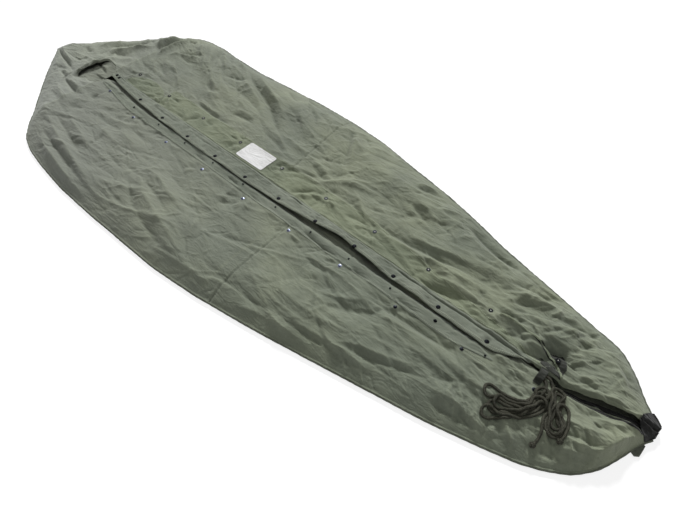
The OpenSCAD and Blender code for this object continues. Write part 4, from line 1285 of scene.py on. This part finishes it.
def mouth_mid(y):
    return MOUTH_X + (MID_HEAD - MOUTH_X) * np.clip((y - MOUTH_TOP) / (Y1 - MOUTH_TOP), 0, 1)


def hood_base(x, y):
    f = field(x, y)
    P = np.stack([x + f[..., 0], y + f[..., 1], f[..., 2]], -1)
    m = sstep((y - 716) / 60) * sstep((835 - y) / 60)
    P[..., 2] -= np.where(x < MOUTH_X, 9 * sstep((x + 84) / 40), 3 * sstep((40 - x) / 40)) * m
    return P


def mouth_out(x, y):
    """How far outside the mouth's rim a point is; 0 inside."""
    ml, mr = smooth_lut(y, MOUTH_L, 4), smooth_lut(y, MOUTH_R, 4)
    above = np.maximum(0, y - MOUTH_TOP)
    e = np.where(y < MOUTH_TOP, np.maximum(ml - x, x - mr), np.hypot(above, 0.55 * np.maximum(np.abs(x - MOUTH_X) - 30, 0)))
    return np.maximum(e, 0)


def mouth_depth(y):
    return 14.5 * sstep((y - 778) / 94) + 1.5 * sstep((y - 860) / 40)


def hood_z(x, y):
    P = hood_base(x, y)
    e = mouth_out(x, y)
    in_from_edge = np.minimum(xr(y) - x, x - xl(y))
    arch = sstep((y - 800) / 60) * sstep((1080 - y) / 150)
    lim = arch * sstep((x + 80) / 60) * sstep(in_from_edge / 80)
    P[..., 2] += 3.2 * lim * np.exp(-((e / 38.0) ** 2))
    left = sstep((MOUTH_X + 6 - x) / 12) * sstep((868 - y) / 16)
    rim = (1 - left) * sstep((y - 752) / 30)
    P[..., 2] += 2.0 * np.exp(-(((e - 4.5) / 3.6) ** 2)) * rim
    P[..., 2] -= 6.0 * np.exp(-((e / 2.2) ** 2)) * rim
    # on the left the cloth falls softly into the mouth, down to the cloth inside
    P[..., 2] -= mouth_depth(y) * left * np.exp(-((e / 15.0) ** 1.6))
    return P


def lining_z(x, y):
    base = hood_base(x, y)[..., 2] - 0.4
    e = mouth_out(x, y)
    d = np.maximum(mouth_depth(y), 3.2 * sstep(e / 7))
    d = d + 2.5 * sstep(e / 10) * sstep((y - 780) / 30)
    xc = lut(y, CREASE_IN)
    d = d - 6.0 * sstep((x - xc) / 5.5) * sstep((y - 776) / 40) * (1 - sstep(e / 6))
    d = d + 3.0 * np.exp(-(((x - xc + 3) / 4.0) ** 2)) * sstep((y - 776) / 30)
    z = base - d
    z += (1.0 * vnoise(x / 15, y / 38, 71) + 0.6 * vnoise(x / 6, y / 19, 73)) * sstep((y - 770) / 30)
    return z


ys = rows_between(Y1 - 2, NECK, 3.4)
for side, name, nodes in ((-1, "hood_left_cloth", ["hood_left", "hood_seam_tape"]), (1, "hood_right_cloth", ["hood_right"])):
    mid = np.where(ys >= MOUTH_TOP, mouth_mid(ys), smooth_lut(ys, MOUTH_L if side < 0 else MOUTH_R, 3))
    if side < 0:
        X = columns(xl(ys) + 0.5, mid, 64, lambda t: 1 - (1 - t) ** 1.25)
    else:
        X = columns(mid, xr(ys) - 0.5, 64, lambda t: t ** 1.25)
    Y = np.repeat(ys[:, None], X.shape[1], 1)
    P = hood_z(X, Y)
    o = sheet_mesh(name, P, None, THICK, M["hood"])
    put(name, "root", nodes, o)


# inside of the hood: the cloth that shows through the mouth, rising to the chest
ys = rows_between(930, 762, 2.6)
X = columns(-92 + 0 * ys, 56 + 0 * ys, 58)
Y = np.repeat(ys[:, None], X.shape[1], 1)
o = sheet_mesh("hood_lining", np.stack([X, Y, np.maximum(lining_z(X, Y), 8)], -1), None, 1.0, M["lining"])
put("", "root", ["hood_facing"], o)


# back, lying on the floor
ys = rows_between(Y1 - 1, Y0 + 1, 9.0)
X = columns(xl(ys) + 1, xr(ys) - 1, 74)
Y = np.repeat(ys[:, None], X.shape[1], 1)
zz = 2.6 + 0.9 * vnoise(X / 60, Y / 130, 41) + 0.45 * vnoise(X / 18, Y / 40, 43)
zz += 1.3 * np.exp(-(((Y + 20) / 3.0) ** 2))
zz = np.maximum(zz, 1.7)
e = np.minimum(xr(Y) - X, X - xl(Y))
zz += 1.6 * np.exp(-((e / 9) ** 2))
o = sheet_mesh("back_cloth_sheet", np.stack([X, Y, zz], -1), None, 1.5, M["back"])
put("", "root", ["back_panel_upper", "back_panel_lower"], o)

# side seams: a bound, slightly puckered edge on each side
for side, name, node in ((-1, "left_seam_binding", "left_side_seam"), (1, "right_seam_binding", "right_side_seam")):
    n = 900
    yy = np.linspace(Y1 - 1.5, Y0 + 1.5, n)
    ex = xl(yy) if side < 0 else xr(yy)
    # even steps along the edge
    pts = resample(np.stack([ex, yy, yy * 0], -1), 3.2)
    s = np.arange(len(pts)) * 3.2
    t = np.gradient(pts, axis=0)
    t /= np.linalg.norm(t, axis=1, keepdims=True)
    out = np.stack([-t[:, 1], t[:, 0], t[:, 2]], -1) * (1 if side < 0 else -1) * -1
    puck = 0.55 * np.sin(s / 3.4 + 2 * vnoise(s / 40, s * 0, 51)) + 1.1 * vnoise(s / 28, s * 0, 53)
    ang = np.linspace(0, 2 * math.pi, 12, endpoint=False)
    cx = 0.8 + 3.3 * np.cos(ang)
    cz = 4.9 + 3.6 * np.sin(ang) - 0.8 * (np.cos(ang) > 0.3) * np.sin(ang)
    ring = pts[:, None] + out[:, None] * (cx[None, :, None] - 1.4 + 0.4 * puck[:, None, None])
    ring[..., 2] = cz[None] * (1 + 0.03 * puck[:, None]) + 0.35 * puck[:, None] * (np.sin(ang) > 0)[None]
    ring[..., 2] = np.maximum(ring[..., 2], 0.5)
    K, S = len(pts), 12
    i = np.arange(K - 1)[:, None] * S
    j = np.arange(S)[None]
    k = (j + 1) % S
    q = np.stack([i + j, i + k, i + S + k, i + S + j], -1).reshape(-1, 4)
    if side < 0:
        q = q[:, ::-1]
    co = np.concatenate([ring.reshape(-1, 3), ring[0].mean(0)[None], ring[-1].mean(0)[None]])
    jj, kk = np.arange(S), (np.arange(S) + 1) % S
    t3 = np.concatenate([np.stack([np.full(S, K * S), kk, jj], -1), np.stack([np.full(S, K * S + 1), (K - 1) * S + jj, (K - 1) * S + kk], -1)])
    o = fast_mesh(name, co * MM, q, material=M["tape"], tris=t3)
    put(name, "root", [node], o)


# ------------------------------------------------------------------ strips, facings and the fly
def strip_over(surface, name, y1, y0, left_fn, right_fn, lift, material, ncol=12, step=4.2, thick=1.1, edge=0.0, extra=None):
    ys = rows_between(y1, y0, step)
    X = columns(left_fn(ys), right_fn(ys), ncol)
    Y = np.repeat(ys[:, None], ncol, 1)
    P = surface(X, Y)
    N = grid_normals(P)
    P = P + N * lift
    if edge:
        w = (right_fn(ys) - left_fn(ys))[:, None]
        t = np.linspace(0, 1, ncol)[None]
        d = np.minimum(t, 1 - t) * w
        P[..., 2] += edge * np.exp(-(((d - 3.2) / 1.8) ** 2))
    if extra is not None:
        P = extra(P, X, Y)
    return sheet_mesh(name, P, None, thick, material)


# placket of the studs, over the crest of the left front
o = strip_over(left_front, "left_placket_strip", 744, -783, lambda y: np.where(y > 560, -75 + (y - 560) * 0.16, np.where(y < -690, -75 + (-690 - y) * 0.22, -75.0)),
               lambda y: np.minimum(smooth_lut(y, XG, 26) + 7.0, np.interp(y, [-783, -740, -700], [-51, -42, -36])), 1.25, M["fly"], 22, 3.6, 1.0, 0.55)
put("", "left_lapel", ["left_placket"], o)

# facing right of the fly, greener
def fac_right(y):
    return np.minimum(np.minimum(86.0, fold_r(y) - 4), 86)


o = strip_over(right_front, "right_facing_strip", 520, -862, lambda y: y * 0 + 7.0, fac_right, 1.25, M["facing"], 34, 4.0, 1.0, 0.5)
put("", "right_lapel", ["right_facing"], o)


def patch_half(y):
    return 12.5 + 58 * np.sqrt(np.clip(1 - ((y - 604) / 93.0) ** 2, 0.0004, 1))


o = strip_over(right_front, "corner_patch_sheet", 696.5, 511.5, lambda y: y * 0 + 10.0, patch_half, 2.3, M["facing"], 26, 3.0, 1.0, 0.7)
put("", "right_lapel", ["corner_patch"], o)

# the fly: from its seam on the right front, over the slit, to a wavy free edge
FLY_L = [(-848, -1), (-832, -8), (-812, -19), (-792, -30), (-774, -37), (-762, -38.5), (-628, -37), (-560, -33), (-495, -35), (-440, -30), (-400, -25.5), (-358, -21), (-316, -15.5), (-290, -18), (-260, -23), (-228, -27),
         (-180, -33), (-99, -41.5), (-40, -43), (30, -46), (100, -46), (157, -45), (225, -48), (289, -45), (360, -44), (426, -41), (500, -37), (560, -31), (600, -28), (660, -21),
         (700, -15), (748, -7)]


def fly_left(y):
    return smooth_lut(y, FLY_L, 26)


FLY_SEAM = [(-848, 4.5), (-830, 6), (-600, 5), (-120, 6.5), (-60, 3.5), (30, 4), (300, 6), (600, 8), (660, 10), (700, 14), (748, 22)]
ys = rows_between(748, -846, 3.0)
seam = smooth_lut(ys, FLY_SEAM, 20)
nc = 40
t = np.linspace(0, 1, nc)
X = seam[:, None] + (fly_left(ys) - seam)[:, None] * t[None]
X = X[:, ::-1]
tt = t[::-1][None]
Y = np.repeat(ys[:, None], nc, 1)
S = seam[:, None]
d_seam = S - X
ground = right_front(np.maximum(X, right_edge(Y) + 4), Y)[..., 2]
at_seam = right_front(np.repeat(S, nc, 1) + 1.5, Y)[..., 2]
lift = 1.0 + 5.2 * sstep(d_seam / 5.0)
zz = at_seam * (1 - sstep(d_seam / 16)) + 40.2 * sstep(d_seam / 16) + lift
edge_d = X - fly_left(Y)
lvl = 45.75
w_cap = np.zeros_like(X)
for cx, cy in SNAP_F:
    d = np.hypot(X - cx, (Y - cy))
    w_cap = np.maximum(w_cap, np.exp(-((d / 9.5) ** 4)))
wave = 2.3 * vnoise(X / 30, Y / 46, 61) + 1.3 * vnoise(X / 11, Y / 15, 63) + 0.5 * vnoise(X / 5, Y / 7, 62)
wave += 1.1 * np.sin(Y / 7.5 + 3 * vnoise(X / 30, Y / 50, 65)) * np.exp(-((d_seam - 7) / 7.0) ** 2) * 0.55
wave += 1.6 * (0.5 - 0.5 * np.cos(2 * math.pi * (Y - 560) / 131.0)) * sstep((12 - edge_d) / 12 + 0.2)
zz = zz + (wave + 0.6) * sstep(d_seam / 9)
zz = np.maximum(zz, 42.4 + 0 * zz)
zz = zz * (1 - w_cap) + lvl * w_cap
# a hem along the free edge, and a row of stitching each side
zz += 0.9 * sstep((8.0 - edge_d) / 1.6) * (1 - 0.7 * w_cap)
zz -= 0.6 * np.exp(-(((edge_d - 2.6) / 0.9) ** 2))
zz -= 1.3 * np.exp(-((edge_d / 2.0) ** 2))
zz -= 0.9 * np.exp(-(((d_seam - 9.5) / 1.1) ** 2))
# deep creases beside the seam
free_cap = 1 - np.exp(-((np.min([np.hypot(X - cx, Y - cy) for cx, cy in SNAP_F], axis=0) / 9.0) ** 6))
wob_ = 1.6 * vnoise(Y / 40, Y * 0, 64)
zz -= 5.5 * np.exp(-(((X + 5 + wob_) / 3.2) ** 2)) * sstep((-478 - Y) / 26) * free_cap
zz -= 3.0 * np.exp(-(((X + 0.5 + wob_) / 2.4) ** 2)) * sstep((30 - Y) / 24) * sstep((Y + 118) / 18)
zz -= 3.0 * np.exp(-(((X + 3 + wob_) / 2.0) ** 2)) * sstep((-116 - Y) / 12) * sstep((Y + 164) / 12)
zz -= 2.4 * np.exp(-(((X - 0.0 + wob_) / 2.0) ** 2)) * sstep((-216 - Y) / 20) * sstep((Y + 446) / 20)
zz -= 2.0 * np.exp(-(((X + 14 + 2 * wob_) / 3.0) ** 2)) * sstep((560 - Y) / 30) * sstep((Y - 100) / 60) * free_cap * (0.5 + 0.5 * np.sin(Y / 31))
Pf = np.stack([X, Y, zz], -1)
fly = sheet_mesh("fly_cloth_flap", Pf, None, 1.3, M["fly"])
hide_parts("fly_flap", "fly_hem", "fly_base")
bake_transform(fly)
FLY_Z = (ys, X, zz)


def fly_z_at(x, y, ys=ys, X=X, zz=zz):
    j = int(np.clip(np.searchsorted(ys, y), 1, len(ys) - 1))
    return float(np.interp(x, X[j], zz[j]))


# floor and light
fl_n = 40
floor = mesh_object("floor", [(-70, -70, -0.0006), (70, -70, -0.0006), (70, 70, -0.0006), (-70, 70, -0.0006)], [(0, 1, 2, 3)], smooth=False)
fm = Nodes("floor_white")
fm.bsdf.inputs["Base Color"].default_value = (0.27, 0.27, 0.27, 1)
fm.bsdf.inputs["Emission Color"].default_value = (1, 1, 1, 1)
fm.bsdf.inputs["Emission Strength"].default_value = 0.76
fm.bsdf.inputs["Roughness"].default_value = 0.9
fm.bsdf.inputs["Specular IOR Level"].default_value = 0.1
floor.data.materials.append(fm.mat)


def area(name, loc, aim, size, power, color=(1, 1, 1), size_y=None):
    d = bpy.data.lights.new(name, "AREA")
    d.shape = "RECTANGLE"
    d.size, d.size_y = size, size_y or size
    d.energy = power
    d.color = color
    o = collection(bpy.data.objects.new(name, d))
    o.location = loc
    o.rotation_mode = "QUATERNION"
    o.rotation_quaternion = (Vector(aim) - Vector(loc)).to_track_quat("-Z", "Y")
    return o


def sun(name, direction, strength, angle, color=(1, 1, 1)):
    d = bpy.data.lights.new(name, "SUN")
    d.energy = strength
    d.angle = math.radians(angle)
    d.color = color
    o = collection(bpy.data.objects.new(name, d))
    o.location = tuple(-3 * c for c in direction)
    o.rotation_mode = "QUATERNION"
    o.rotation_quaternion = Vector(direction).to_track_quat("-Z", "Y")
    return o


sun("key", (-0.74, -0.52, -0.62), 3.9, 8)
sun("top", (0.15, 0.05, -1.0), 0.75, 60)
w = bpy.data.worlds.new("world")
bpy.context.scene.world = w
w.use_nodes = True
w.node_tree.nodes["Background"].inputs[0].default_value = (1, 1, 1, 1)
w.node_tree.nodes["Background"].inputs[1].default_value = 0.30


# ------------------------------------------------------------------ foot: black sheets painting the shade at the tip and in the slit, keeper, tab
def polyline_tube(name, pts, r, mat, step=2.5, sides=8):
    return tube_mesh(name, rounded(pts, step, 2), r, mat, sides)


# the front below the patch line, left and right of the slit, drawn together to the tip
ys = rows_between(PATCH + 0.4, Y0 + 2.5, 1.8)
for side, name in ((-1, "foot_left_cloth"), (1, "foot_right_cloth")):
    a = xl(ys) + 0.5 if side < 0 else right_edge(ys)
    b = left_edge(ys) if side < 0 else xr(ys) - 0.5
    b = np.maximum(b, a + 0.6)
    X = columns(a, b, 40)
    Y = np.repeat(ys[:, None], 40, 1)
    P = left_front(X, Y) if side < 0 else right_front(X, Y)
    P[..., 2] = np.maximum(P[..., 2], 6.0)
    o = sheet_mesh(name, P, None, THICK, M["front"])
    put("", "root", [], o)

# black sheet over the tip, with a fold along it: its black paints the deep shade of the foot's end
ys = rows_between(-1072, Y0 + 0.4, 1.3)
n = 50
a = np.maximum(xl(ys) + 0.2, np.interp(ys, [-1116, -1100, -1086, -1072], [10, 12, 20, 34]))
b = np.minimum(xr(ys) + 0.8, np.interp(ys, [-1116, -1100, -1086, -1072], [90, 86, 74, 50]))
X = columns(a, np.maximum(b, a + 1), n)
Y = np.repeat(ys[:, None], n, 1)
fl_, fr_ = left_front(X, Y)[..., 2], right_front(X, Y)[..., 2]
mixw = sstep((X - left_edge(Y)) / 5)
zz = fl_ * (1 - mixw) + fr_ * mixw
tt = np.linspace(0, 1, n)[None]
dome = 9.0 + 13.0 * np.sqrt(np.clip(1 - (2 * tt - 1) ** 2, 0, 1)) * sstep((Y - Y0 + 6) / 34)
join = sstep((Y + 1098) / 22)
zz = np.maximum(np.maximum(fl_, fr_) + np.interp(X, [24, 34], [2.2, 5.2]), np.maximum(8.0, dome * (1 - join)))
zz += 2.4 * np.exp(-(((tt - 0.36 - 0.06 * np.sin(Y / 12)) / 0.07) ** 2)) + 0.5 * vnoise(X / 8, Y / 11, 81)
zz -= 2.2 * np.exp(-(((tt - 0.58) / 0.08) ** 2))
o = sheet_mesh("foot_tip_painted_shade", np.stack([X, Y, zz], -1), None, 1.2, M["black"])
put("", "root", ["foot_patch"], o)

# facing down the slit: black cloth on the slope between the two edges, painting the shade of the gully
ys = rows_between(-912, -1090, 2.0)
xg_ = smooth_lut(ys, XG, 26)
a = xg_ + np.interp(ys, [-1090, -1040, -990, -940, -912], [-2, 3, 5, 9, 14])
b = right_edge(ys) - 0.6
X = columns(a, np.maximum(b, a + 1), 26)
Y = np.repeat(ys[:, None], 26, 1)
zz = left_front(X, Y)[..., 2] + 0.9 + 0.7 * vnoise(X / 7, Y / 22, 83)
t_ = np.linspace(0, 1, 26)[None]
zz -= 2.2 * np.exp(-(((t_ - 0.45) / 0.10) ** 2)) - 1.4 * np.exp(-(((t_ - 0.68) / 0.10) ** 2))
o = sheet_mesh("foot_slit_painted_shade", np.stack([X, Y, np.maximum(zz, 7)], -1), None, 0.9, M["black"])
put("", "root", ["foot_slit_facing"], o)

# the gather over the cords' exit: dark sheets that paint the shade of the hollow and of the turned-under edge, and the
# light hem that runs round it
ys = rows_between(-816, -912, 1.8)
a = np.interp(ys, [-912, -900, -886, -868, -840, -816], [15, 24, 34, 43, 51, 55])
b = np.interp(ys, [-912, -906, -899, -892, -880, -862, -836, -816], [30, 46, 66, 70, 66, 60, 58, 57])
X = columns(a, b, 22)
Y = np.repeat(ys[:, None], 22, 1)
zz = right_front(X, Y)[..., 2] + 1.1 + 0.5 * vnoise(X / 6, Y / 9, 93)
o = sheet_mesh("gather_wing_painted_shade", np.stack([X, Y, zz], -1), None, 0.9, M["painted_shade_dark"])
put("", "root", [], o)

ys = rows_between(-850, -914, 1.8)
a = np.interp(ys, [-914, -900, -884, -866, -850], [3.5, 3.5, 5, 9, 18])
b = np.interp(ys, [-914, -906, -890, -874, -860, -850], [6, 14, 26, 34, 34, 24])
X = columns(a, b, 26)
Y = np.repeat(ys[:, None], 26, 1)
zz = right_front(X, Y)[..., 2] + 1.0 + 0.9 * vnoise(X / 7, Y / 12, 95)
o = sheet_mesh("gather_inner_painted_shade", np.stack([X, Y, zz], -1), None, 0.9, M["painted_shade_dark"])
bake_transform(o)

hem_xy = rounded([(53, -735, 0), (57, -770, 0), (58, -806, 0), (56, -838, 0), (50, -862, 0), (40, -882, 0), (27, -898, 0), (13, -909, 0), (3.5, -914, 0)], 2.0, 3)
hem_pts = np.stack([hem_xy[:, 0], hem_xy[:, 1], right_front(hem_xy[:, 0], hem_xy[:, 1])[:, 2] + 1.6], -1)
t_h = np.gradient(hem_pts, axis=0)
t_h /= np.linalg.norm(t_h, axis=1, keepdims=True)
side_h = np.stack([-t_h[:, 1], t_h[:, 0], 0 * t_h[:, 0]], -1)
o_ = np.linspace(-2.6, 2.6, 7)
G = hem_pts[:, None] + side_h[:, None] * o_[None, :, None]
G[..., 2] += 1.3 * np.exp(-((o_ / 1.7) ** 2))[None] + 0.3 * vnoise(np.arange(len(hem_pts))[:, None] / 5, o_[None] / 3, 97)
o = sheet_mesh("gather_hem", G[:, ::-1], None, 1.0, M["facing"])
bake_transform(o)


def ribbon(name, pts, width, thick, mat, across=(1, 0, 0), ripple=0.0, seed=1):
    """A flat tape along points in mm, its width along a given direction."""
    p = rounded(pts, 1.6, 2)
    w = np.array(across, float)
    nn = 7
    o_ = np.linspace(-0.5, 0.5, nn) * width
    s = np.concatenate([[0], np.cumsum(np.linalg.norm(np.diff(p, axis=0), axis=1))])
    G = p[:, None] + o_[None, :, None] * w
    G[..., 2] += ripple * vnoise(s[:, None] / 9, o_[None] / 9, seed)
    return sheet_mesh(name, G, None, thick, mat)


# keeper: a tape loop over both cords, sewn down at both ends
zk = 41.2
loop = [(-38, -878, zk), (-34, -878, zk + 0.3), (-31, -878, zk + 3), (-29, -878, zk + 8.5), (-23, -878, zk + 11), (-13, -878, zk + 11),
        (-6.5, -878, zk + 9), (-4, -878, zk + 3.5), (-1, -878, zk + 0.6), (4, -878, zk + 0.4)]
# its tape is the dark cloth for shaded places: painted shade of the gather
o = ribbon("keeper_loop_tape", loop, 16, 1.4, M["painted_shade_dark"], (0, 1, 0), 0.5, 85)
put("", "root", ["cord_keeper"], o)

# tab at the foot: doubled tape, its free corner turned a little
lo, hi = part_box("tape_tab")
ta = math.radians(-25.2)
ux, uy = np.array([math.cos(ta), math.sin(ta)]), np.array([math.sin(ta), -math.cos(ta)])
nu, nv = 22, 14
U, V = np.meshgrid(np.linspace(-17, 17, nu), np.linspace(0, 1, nv))
far = np.interp(U, [-17, -8, 17], [12, 17, 6.2])
D = 1.4 + (far - 1.4) * V
Xt = -4 + ux[0] * U + (-math.sin(ta)) * -D * -1
Xt = -4 + math.cos(ta) * U + math.sin(ta) * D
Yt = -1095.5 + math.sin(ta) * U - math.cos(ta) * D
Zt = 4.6 + 0.5 * np.sin(U / 5.0) * V + 0.7 * V * V
o = sheet_mesh("tape_tab_woven", np.stack([Xt, Yt, Zt], -1)[::-1], None, 1.8, M["tab"])
put("", "tab", ["tape_tab"], o)

# label: thin woven cloth, corners rounded, edges turned and stitched
nx, ny = 34, 52
X, Y = np.meshgrid(np.linspace(14, 80, nx), np.linspace(26, 134, ny))
cxm, cym = 47.0, 80.0
dx, dy = np.abs(X - cxm) - 33 + 6, np.abs(Y - cym) - 54 + 6
r = np.hypot(np.maximum(dx, 0), np.maximum(dy, 0))
k = np.where(r > 6, 6 / np.maximum(r, 1e-6), 1)
X2 = np.where((dx > 0) & (dy > 0), cxm + np.sign(X - cxm) * (27 + np.maximum(dx, 0) * k), X)
Y2 = np.where((dx > 0) & (dy > 0), cym + np.sign(Y - cym) * (48 + np.maximum(dy, 0) * k), Y)
base = right_front(X2, Y2)
Nb = grid_normals(base)
e = np.minimum(33 - np.abs(X2 - cxm), 54 - np.abs(Y2 - cym))
Pl = base + Nb * 2.7
Pl[..., 2] += 0.45 * np.exp(-(((e - 1.5) / 1.2) ** 2)) - 0.35 * np.exp(-(((e - 3.6) / 0.7) ** 2)) + 0.35 * vnoise(X / 14, Y / 18, 87)
o = sheet_mesh("label_cloth_sheet", Pl, None, 0.6, M["label"])
put("", "right_lapel", ["label"], o)


# ------------------------------------------------------------------ stitching
def stitch_row(name, body, pts_fn, s0, s1, mat, pitch=4.2, run=3.0, r=0.42):
    """Lockstitch along a line: each stitch a short rounded bar that dips into the cloth at both ends."""
    n = int(abs(s1 - s0) / pitch)
    s = s0 + (np.arange(n) + 0.5) * (s1 - s0) / n
    half = run / 2 * (1 if s1 > s0 else -1)
    A, C, B = pts_fn(s - half), pts_fn(s), pts_fn(s + half)
    A[:, 2] -= 0.10
    B[:, 2] -= 0.10
    C[:, 2] += 0.42
    rings = []
    for Q, k in ((A, 0.35), (A * 0.62 + C * 0.38, 0.95), (C, 1.0), (B * 0.62 + C * 0.38, 0.95), (B, 0.35)):
        rings.append((Q, k))
    t = B - A
    t /= np.maximum(np.linalg.norm(t, axis=1, keepdims=True), 1e-9)
    up = np.array([0, 0, 1.0])
    side = np.cross(t, up)
    side /= np.maximum(np.linalg.norm(side, axis=1, keepdims=True), 1e-9)
    S = 6
    ang = np.arange(S) * 2 * math.pi / S
    co = []
    for Q, k in rings:
        co.append(Q[:, None] + r * k * (side[:, None] * np.cos(ang)[None, :, None] + up[None, None] * np.sin(ang)[None, :, None]))
    co = np.stack(co, 1)  # n, 5, S, 3
    base = (np.arange(n) * 5 * S)[:, None, None]
    i = (np.arange(4) * S)[None, :, None]
    j = np.arange(S)[None, None]
    k = (j + 1) % S
    q = np.stack([base + i + k, base + i + j, base + i + S + j, base + i + S + k], -1).reshape(-1, 4)
    caps = []
    for o_, rev in ((0, False), (4 * S, True)):
        for (a, b, c, d) in ((0, 1, 2, 3), (0, 3, 4, 5)):
            quad = np.stack([np.arange(n) * 5 * S + o_ + m for m in (a, b, c, d)], -1)
            caps.append(quad[:, ::-1] if rev else quad)
    q = np.concatenate([q] + caps)
    ob = fast_mesh(name, co.reshape(-1, 3) * MM, q, material=mat)
    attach(ob, body)
    return ob


def on(surface, x_fn, lift):
    def f(y):
        x = x_fn(y)
        P = surface(x, y)
        return np.stack([P[..., 0], P[..., 1], P[..., 2] + lift], -1)
    return f


def interp_fly(off_fn):
    def f(y):
        yy, XX, ZZ = FLY_Z
        out = []
        for v in np.atleast_1d(y):
            j = int(np.clip(np.searchsorted(yy, v), 1, len(yy) - 1))
            x = off_fn(v)
            out.append((x, v, np.interp(x, XX[j], ZZ[j]) + 0.12))
        return np.array(out, float)
    return f


stitch_row("fly_hem_stitches", "fly", interp_fly(lambda v: float(fly_left(v)) + 2.6), -836, 743, M["thread"])
stitch_row("fly_hem_stitches_inner", "fly", interp_fly(lambda v: float(fly_left(v)) + 7.6), -836, 743, M["thread"])
stitch_row("facing_stitches", "right_lapel", on(right_front, lambda y: fac_right(y) - 3.2, 1.55), -856, 516, M["thread"])
stitch_row("fly_seam_stitches", "right_lapel", on(right_front, lambda y: 9.5 + 0 * y, 1.5), -856, 516, M["thread"])
stitch_row("placket_stitches", "left_lapel", on(left_front, lambda y: np.where(y > 560, -75 + (y - 560) * 0.16, -75.0) + 3.2, 1.5), -778, 738, M["thread"])


def revolved(name, spots, profile, mat, body, sides=20):
    """The same small turned shape at several spots: profile is (radius, height) from the top's middle outwards and down."""
    a = np.arange(sides) * 2 * math.pi / sides
    co, q, t3 = [], [], []
    for cx, cy, cz in spots:
        b = len(co)
        co.append((cx, cy, cz + profile[0][1]))
        for r_, h_ in profile[1:]:
            co += [(cx + r_ * math.cos(t), cy + r_ * math.sin(t), cz + h_) for t in a]
        m = len(profile) - 1
        for k in range(sides):
            l = (k + 1) % sides
            t3.append((b, b + 1 + k, b + 1 + l))
            for ring in range(m - 1):
                o0, o1 = b + 1 + ring * sides, b + 1 + (ring + 1) * sides
                q.append((o0 + k, o1 + k, o1 + l, o0 + l))
        e_ = len(co)
        co.append((cx, cy, cz + profile[-1][1]))
        for k in range(sides):
            t3.append((e_, b + 1 + (m - 1) * sides + (k + 1) % sides, b + 1 + (m - 1) * sides + k))
    ob = fast_mesh(name, np.array(co) * MM, np.array(q), material=mat, tris=np.array(t3))
    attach(ob, body)
    return ob


# bright pin in the middle of each ring snap
pin = [(0, 1.25), (0.7, 1.15), (1.25, 0.8), (1.6, 0.2), (1.6, -0.4)]
on_lapel = [(x, y, 41.9) for x, y in SNAP_R if x < fold_r(y) and y > -865]
on_root = [(x, y, 40.7) for x, y in SNAP_R if not (x < fold_r(y) and y > -865)]
revolved("ring_snap_pins", on_lapel, pin, M["nickel"], "right_lapel")
revolved("ring_snap_pins_foot", on_root, pin, M["nickel"], "root")
# the two small caps at the head of the fly
head_cap = [(0, 2.0), (2.4, 1.95), (3.6, 1.6), (4.6, 0.9), (5.0, 0.3), (5.0, -0.3), (3.0, -0.5)]
revolved("fly_head_caps", [(3.0, 718.0, fly_z_at(3.0, 718) + 0.2), (6.5, 735.0, fly_z_at(6.5, 735) + 0.2)], head_cap, M["brass"], "right_lapel")


# ------------------------------------------------------------------ the cloth pieces, with the size each was cut to
def cut_size(obj, w=None, l=None):
    me = obj.data
    n = len(me.vertices)
    co = np.zeros(n * 3, np.float32)
    me.vertices.foreach_get("co", co)
    co = co.reshape(-1, 3)
    me.calc_loop_triangles()
    tri = np.zeros(len(me.loop_triangles) * 3, np.int32)
    me.loop_triangles.foreach_get("vertices", tri)
    p = co[tri.reshape(-1, 3)].astype(float)
    area = float(np.linalg.norm(np.cross(p[:, 1] - p[:, 0], p[:, 2] - p[:, 0]), axis=1).sum()) / 4
    ext = co.max(0) - co.min(0)
    up5 = lambda v: math.ceil(v * 200 + 0.2) / 200
    w = w or up5(float(ext[0]))
    l = l or up5(float(ext[1]))
    if area < 0.45 * w * l:
        # a slanting piece was cut narrower than the box it now fills
        w = up5(area / (0.62 * l))
    return w, l, min(area * 0.985, w * l)


def cloth(name, held, w=None, l=None):
    o = bpy.data.objects[name]
    w, l, a = cut_size(o, w, l)
    print("sheet", name, "width", round(w, 3), "length", round(l, 3), "area", round(a, 4), held)


cloth("back_cloth_sheet", "laid")
cloth("left_front_upper_cloth", "laid")
cloth("left_front_lower_cloth", "laid")
cloth("left_front_foot", "laid")
cloth("right_front_upper_cloth", "laid")
cloth("right_front_lower_cloth", "laid")
cloth("right_front_foot", "laid")
cloth("hood_left_cloth", "laid")
cloth("hood_right_cloth", "laid")
cloth("hood_lining", "laid")
cloth("left_placket_strip", "laid")
cloth("right_facing_strip", "laid")
cloth("corner_patch_sheet", "laid")
cloth("fly_cloth_flap", "laid")
cloth("foot_left_cloth", "gathered")
cloth("foot_right_cloth", "gathered")
cloth("foot_tip_painted_shade", "laid")
cloth("foot_slit_painted_shade", "laid")
cloth("gather_wing_painted_shade", "gathered")
cloth("gather_inner_painted_shade", "gathered")
cloth("keeper_loop_tape", "folded", w=0.016, l=0.065)
cloth("tape_tab_woven", "laid")
cloth("label_cloth_sheet", "laid")


# ------------------------------------------------------------------ CAD pieces that stay, with their finish
def dress(nodes, mat, smooth=True):
    for nname in nodes:
        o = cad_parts[nname]
        if not o.material_slots:
            o.data.materials.append(mat)
        for s in o.material_slots:
            s.material = mat


dress(["fly_caps"], M["brass"])
dress(["fly_sockets", "placket_rivets", "outer_rivets", "ring_rivets", "placket_rivet_foot", "outer_rivets_foot", "ring_rivets_foot"], M["brass"])
dress(["placket_studs", "placket_stud_foot"], M["brass"])
dress(["outer_studs"], M["worn"])
dress(["outer_studs_foot"], M["ring"])
dress(["ring_snaps", "ring_snaps_foot"], M["ring"])
